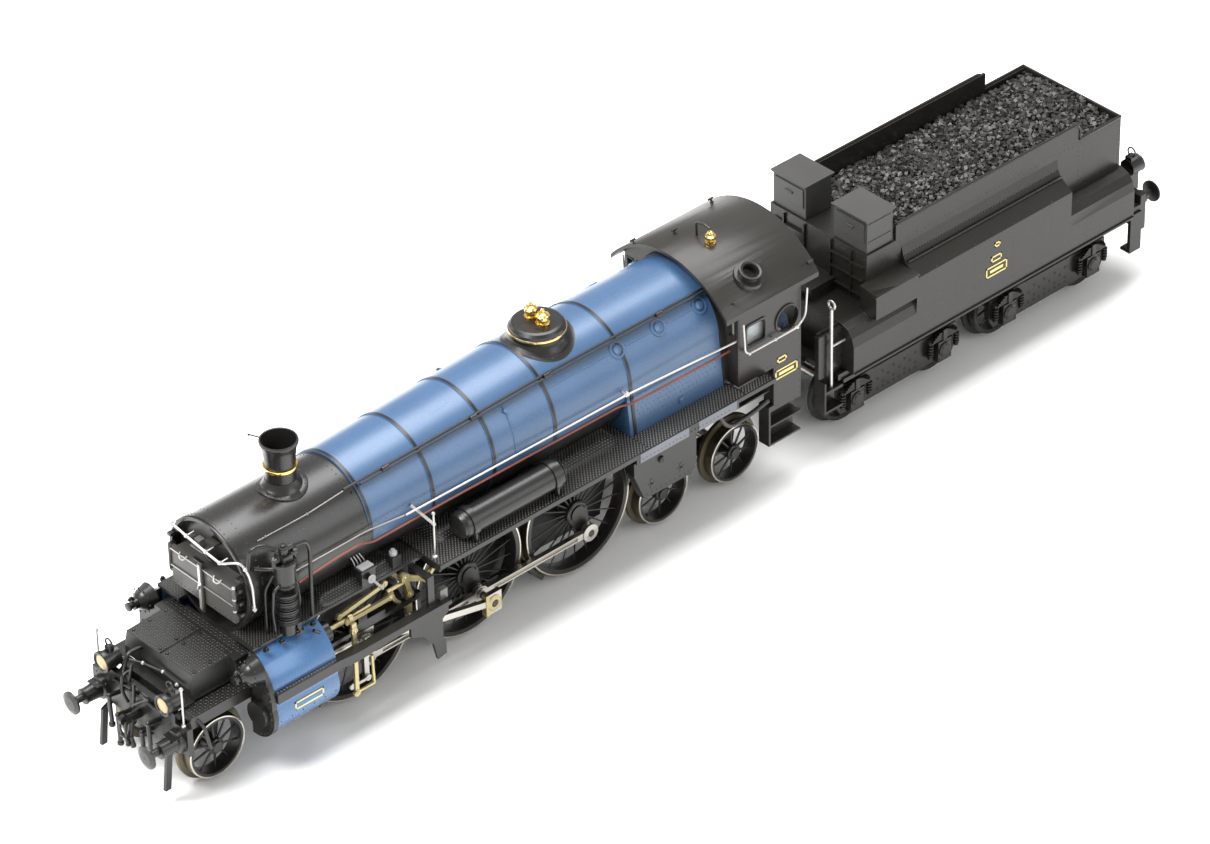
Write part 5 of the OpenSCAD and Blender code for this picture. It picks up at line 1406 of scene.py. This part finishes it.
def handrails():
    """Slim rails on turned knobs along the boiler, over the smokebox front and round the cab."""
    rails = Shape()
    x, y, z = 107, 12.5, HANDRAIL_Z
    rails.pipe([(56.6, 12.1, z), (x, y, z), (CAB_X + 0.1, 14.1, z)], 0.19, 3)
    rails.rod((x, boiler_radius(x) - 0.3, z), (x, y, z), 0.2)
    rails.turned((x, y, z), BACK, [(-0.55, 0.19), (-0.35, 0.4), (0.35, 0.4), (0.55, 0.19)], 14)
    rails.rod((x, y, z), (x, y, z + 0.75), 0.16)
    post_x, post_y = 60.6, 14.5
    rails.rod((59.0, 10.6, z), (post_x, post_y, 31.3), 0.3)
    rails.ball((post_x, post_y, 31.3), 0.42)
    rails.rod((post_x, post_y, BOARD_Z), (post_x, post_y, 33.4), 0.2)
    rails.turned((post_x, post_y, BOARD_Z), UP, [(0, 0.55), (0.25, 0.5), (0.4, 0.25)], 14)
    rails.ball((post_x, post_y, 33.5), 0.34)
    rails.rod((7.7, 11.2, 15), (7.7, 11.2, 22.8), 0.2)
    rails.turned((7.7, 11.2, 15), UP, [(0, 0.45), (0.5, 0.4), (0.6, 0.2)], 14)
    rails.ball((7.7, 11.2, 23), 0.38)
    cab_rails(rails)
    rails.mirrored()
    front_rail(rails)
    piece("slim_handrails", rails, "rail_white", "handrails", stands_for=["handrails"])


def front_rail(rails):
    """Rail across the smokebox front, then down beside the air pump."""
    x = 21.3
    rails.pipe([(23.9, 8.2, 37.0), (x, 6.8, 41), (x, 2.7, 40.3), (x, -1.7, 39.7), (x, -6.6, 39.2),
                (x + 0.6, -8.2, 40.0), (x + 1.6, -9.8, 40.3), (x + 2.3, -10.7, 38.2),
                (x + 2.8, -11.0, 35.2), (x + 3.0, -10.9, 30.2)], 0.23, 0.9)
    for y, z in ((6.2, 40.9), (2.4, 40.25), (-2.6, 39.6), (-6.2, 39.25)):
        rails.rod((x, y, z), (x + 1.7, y, z + 0.1), 0.14)
        rails.ball((x, y, z), 0.4)
    rails.rod((x + 3.0, -10.9, 30.9), (x + 3.0, -9.6, 30.9), 0.2)
    rails.ball((x + 3.0, -10.9, 30.6), 0.42)
    rails.ball((x + 1.9, -10.5, 39.2), 0.4)


def cab_rails(rails):
    """Grab rail under and behind the cab windows."""
    y, z = CAB_Y + 0.9, 31.2
    rails.pipe([(132.2, y, 38), (132.6, y, 32), (133.6, y, z), (145.4, y, z), (147.4, y, 32.8),
                (147.8, y, 38.4)], 0.2, 1.2)
    for x in (133.6, 140, 145.4):
        rails.rod((x, CAB_Y - 0.2, z), (x, y, z), 0.15)
        rails.ball((x, y, z), 0.34)


# ---- Pipes and small fittings ----------------------------------------------------------------


def boiler_runs():
    """Twin control pipes along the boiler, the smokebox rails and the pump's steam pipes."""
    runs = Shape()
    lift = 0.75
    for turn, first in ((39.6, 47.5), (42.6, 50.8)):
        runs.pipe([on_boiler(x, turn, lift) for x in (first, 64, 78, 91.4, 110, CAB_X)], 0.24, 4)
    clip = 41.1
    for x in (56.4, 76, 92.6, 119):
        runs.rod(on_boiler(x, clip, -0.2), on_boiler(x, clip, 0.8), 0.25)
        runs.rod(on_boiler(x - 0.7, clip, lift), on_boiler(x + 0.7, clip, lift), 0.52, sides=14)
    runs.pipe([(24.4, -9.6, 37.6), (24.6, -10.2, 42.2), (26.8, -10.8, 42.6), (28.4, -12.2, 41.4)], 0.4, 1.4)
    runs.pipe([(25.2, -10.2, 38.2), (27, -11.2, 37.6), (28, -12.2, 37.8)], 0.34)
    runs.pipe([(31.4, -12.8, 41.0), (34.4, -12.6, 40.4), (35.4, -12.4, 38.4), (35.2, -12.3, BOARD_Z)],
              0.36, 1.2)
    runs.pipe([(49.2, -7.2, 40.2), (48.6, -8.2, 36.4), (45.2, -9.4, 35.0)], 0.14, 0.8)
    piece("boiler_control_pipes", runs, "satin_black", "boiler_pipes", stands_for=["boiler_pipes"])
    bright = Shape()
    y, z = -7.1, 40.4
    bright.pipe([(28.7, y, z), (39.5, y, z), (47.4, y, 41.1)], 0.11, 0.8)
    for x in (30.5, 39.5):
        bright.rod((x, y + 0.6, z - 0.5), (x, y, z), 0.16)
        bright.ball((x, y, z), 0.26)
    bright.pipe([(32.5, -10.9, 33.8), (48.7, -10.9, HANDRAIL_Z), (56.4, -12.0, HANDRAIL_Z)], 0.13)
    piece("smokebox_side_rails", bright, "worn_steel", "smokebox")


def copper_pipe():
    """Red feed pipe along the left side, from the air pump to the cab."""
    copper = Shape()
    copper.pipe([(33.5, -11.4, 31.6), (42.2, -11.8, 32.8), (46.8, -11.8, 32.9), (49.5, -11.8, 31.9),
                 (63, -11.8, 31.95), (77.4, -12.2, 32.3), (105.6, -12.2, 32.1), (108, -12.4, 31.5),
                 (CAB_X, -12.5, 31.2)], 0.2, 0.8)
    piece("copper_pipe", copper, "copper", "boiler_pipes")


def frame_pipes():
    """Pipes under the walkways and one up the smokebox side."""
    pipes = Shape()
    pipes.pipe([(126, 15.2, 23.6), (126.4, 15.6, 20.4), (128.6, 15.6, 17.8), (134.4, 15.4, 18.0),
                (138.4, 15.2, 18.6)], 0.45, 2.2)
    pipes.pipe([(33, 15.2, 23.9), (34.4, 15, 22.6)], 0.3)
    pipes.mirrored()
    pipes.pipe([(26.5, -10.9, 24.5), (26.5, -11.2, 33.5), (27.8, -12, 36.5)], 0.26)
    piece("frame_pipes", pipes, "satin_black", "running_boards")


def reservoir_dress():
    """Domed ends, straps and feet of the air reservoirs."""
    y, z = 13.9, 27.35
    tank = Shape()
    for x, out in ((66.4, AHEAD), (89.4, BACK)):
        tank.turned((x, y, z), out, [(-0.2, 2.35), (0.1, 2.2), (0.35, 1.6), (0.45, 0.8), (0.48, 0.01)], 32)
    for x in (67.9, 86.7):
        tank.turned((x, y, z), BACK, [(0, 2.6), (0, 2.88), (1.2, 2.88), (1.2, 2.6)], 40, ring=True)
        tank.rod((x + 0.6, 16.2, 24.5), (x + 0.6, 16.2, 26.6), 0.35)
    piece("reservoir_straps", tank.mirrored(), "satin_black", "air_reservoirs")


def lubricator_dress():
    """Drive lever, lids and feed pipes of the lubricators."""
    oilers = Shape()
    oilers.rod((47.5, -13.2, 26), (49.9, -13.2, 22.6), 0.26)
    oilers.turned((47.5, -13.3, 26), (0, -1, 0),
                  [(0, 0.8), (0.2, 0.8), (0.25, 0.3), (0.5, 0.3), (0.52, 0.01)], 16)
    oilers.block([46.2, 48.8], [-12.5, -10.9], [27.7, 27.95])
    oilers.turned((53.9, -11.5, 26.8), UP, [(0, 0.7), (0.6, 0.7), (0.7, 0.4), (1.1, 0.35), (1.12, 0.01)], 16)
    for k in range(4):
        x = 46.4 + 0.7 * k
        oilers.pipe([(x, -10.6, 26), (x, -10.4, 28), (45.8 + 0.6 * k, -10.1, 29.6)], 0.12)
    piece("lubricator_levers", oilers, "grey_plastic", "lubricators")


def ash_dress():
    """Latches, rivets and air caps of the ash-pan boxes."""
    y = 13.6
    shape = Shape()
    shape.turned((113.8, y, 17.4), OUT, [(0, 0.7), (0.4, 0.6), (0.5, 0.3), (0.7, 0.01)], 16)
    shape.rivet_line((108.4, y, 18.9), (121.4, y, 18.9), 14, OUT, 0.15)
    shape.rivet_line((110.4, y, 11.4), (120.6, y, 11.4), 10, OUT, 0.15)
    shape.mirrored()
    for low in (-y - 0.05, y - 0.05):
        latch = [low, low + 0.25]
        for x in (111.5, 118.6):
            shape.block([x - 0.3, x + 0.3], latch, [12.2, 14.2])
            shape.block([x - 0.8, x + 0.8], latch, [13.1, 13.4])
    piece("ash_pan_latches", shape, "plate_black", "ash_pan")


def worm():
    """Screw thread on the motor spindle."""
    z = station("motor_shaft").z
    start, length, r, per_turn = 93.6, 7.2, 1.28, 16
    steps = 6 * per_turn
    line = []
    for k in range(steps + 1):
        a = 2 * math.pi * k / per_turn
        line.append((start + length * k / steps, r * math.cos(a), z + r * math.sin(a)))
    shape = Shape()
    shape.pipe(line, 0.2, 0.01, 6)
    piece("worm_thread", shape, "rod_steel", "motor_shaft")


def inside_parts():
    """Chips on the circuit board and the bands round the motor."""
    chips = Shape()
    for x in (180, 190, 202):
        chips.block([x + 0.2, x + 4.8], [-2.8, 2.8], [18.95, 19.3])
    piece("board_chips", chips, "chip_black", "circuit_board")
    low, high = ((corner - Vector((FRONT, 0, RAIL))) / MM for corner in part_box("motor"))
    bands = Shape()
    for x in (106, 120.5):
        bands.block([x, x + 0.8], [low.y - 0.06, high.y + 0.06], [low.z, high.z + 0.06])
    piece("motor_bands", bands, "gear_brass", "motor")


# ---- Stage -----------------------------------------------------------------------------------


def stage():
    """Pale floor and soft studio lights."""
    scene = bpy.context.scene
    size = 6.0
    floor_mesh = bpy.data.meshes.new("floor")
    corners = [(x * size, y * size, CAD_LOW.z) for x, y in ((-1, -1), (1, -1), (1, 1), (-1, 1))]
    floor_mesh.from_pydata(corners, [], [(0, 1, 2, 3)])
    floor = bpy.data.objects.new("floor", floor_mesh)
    scene.collection.objects.link(floor)
    surface("floor_paint", (0.93, 0.93, 0.92), 0.7, vary=0.01, grain=40, bump=0.0)
    floor_mesh.materials.append(MATERIALS["floor_paint"])
    lights = (("key", (-0.5, 0.1, 0.85), 0.42, 13.0), ("fill", (0.3, -0.9, 0.5), 0.6, 3.2),
              ("top", (0.25, 0.2, 1.0), 0.7, 12.0), ("back", (-0.2, 0.9, 0.45), 0.5, 2.0))
    for name, place, width, power in lights:
        light = bpy.data.lights.new(name, "AREA")
        light.energy = power
        light.size = width
        lamp = bpy.data.objects.new(name, light)
        lamp.location = place
        lamp.rotation_mode = "QUATERNION"
        lamp.rotation_quaternion = (-Vector(place)).to_track_quat("-Z", "Y")
        scene.collection.objects.link(lamp)
    world = bpy.data.worlds.new("studio")
    world.use_nodes = True
    background = world.node_tree.nodes["Background"]
    background.inputs["Color"].default_value = (1, 1, 1, 1)
    background.inputs["Strength"].default_value = 0.62
    scene.view_settings.view_transform = "Standard"
    scene.world = world


def camera():
    """Long lens from the front left, above."""
    place = (-0.538965, -0.588121, 0.587587)
    azimuth, elevation, roll = (math.radians(a) for a in (-41.998, 35.66, -1.295))
    back = Vector((math.sin(azimuth) * math.cos(elevation), -math.cos(azimuth) * math.cos(elevation),
                   math.sin(elevation)))
    level = Vector(UP).cross(back).normalized()
    upright = back.cross(level)
    right = level * math.cos(roll) + upright * math.sin(roll)
    up = upright * math.cos(roll) - level * math.sin(roll)
    data = bpy.data.cameras.new("camera")
    data.sensor_width = 36
    data.lens = 163.97
    data.clip_start = 0.01
    data.clip_end = 20
    cam = bpy.data.objects.new("camera", data)
    turn = Matrix((right, up, back)).transposed()
    cam.matrix_world = Matrix.Translation(place) @ turn.to_4x4()
    bpy.context.scene.collection.objects.link(cam)
    bpy.context.scene.camera = cam


def main():
    """Builds the finishes and every piece, then the stage and the camera."""
    make_materials()
    finish_cad_nodes()
    wheels()
    worm()
    boiler_bands()
    painted_boiler_underside_shade()
    boiler_rivets()
    washout_plugs()
    firebox_stays()
    dome_dress()
    chimney_dress()
    smokebox_dress()
    pump_dress()
    walkways()
    front_cover_dress()
    brake_gear()
    motion()
    front_end()
    lamp_glow()
    cab_dress()
    cab_interior()
    roof_dress()
    crew()
    tender()
    handrails()
    boiler_runs()
    copper_pipe()
    frame_pipes()
    reservoir_dress()
    lubricator_dress()
    ash_dress()
    inside_parts()
    stage()
    camera()


main()
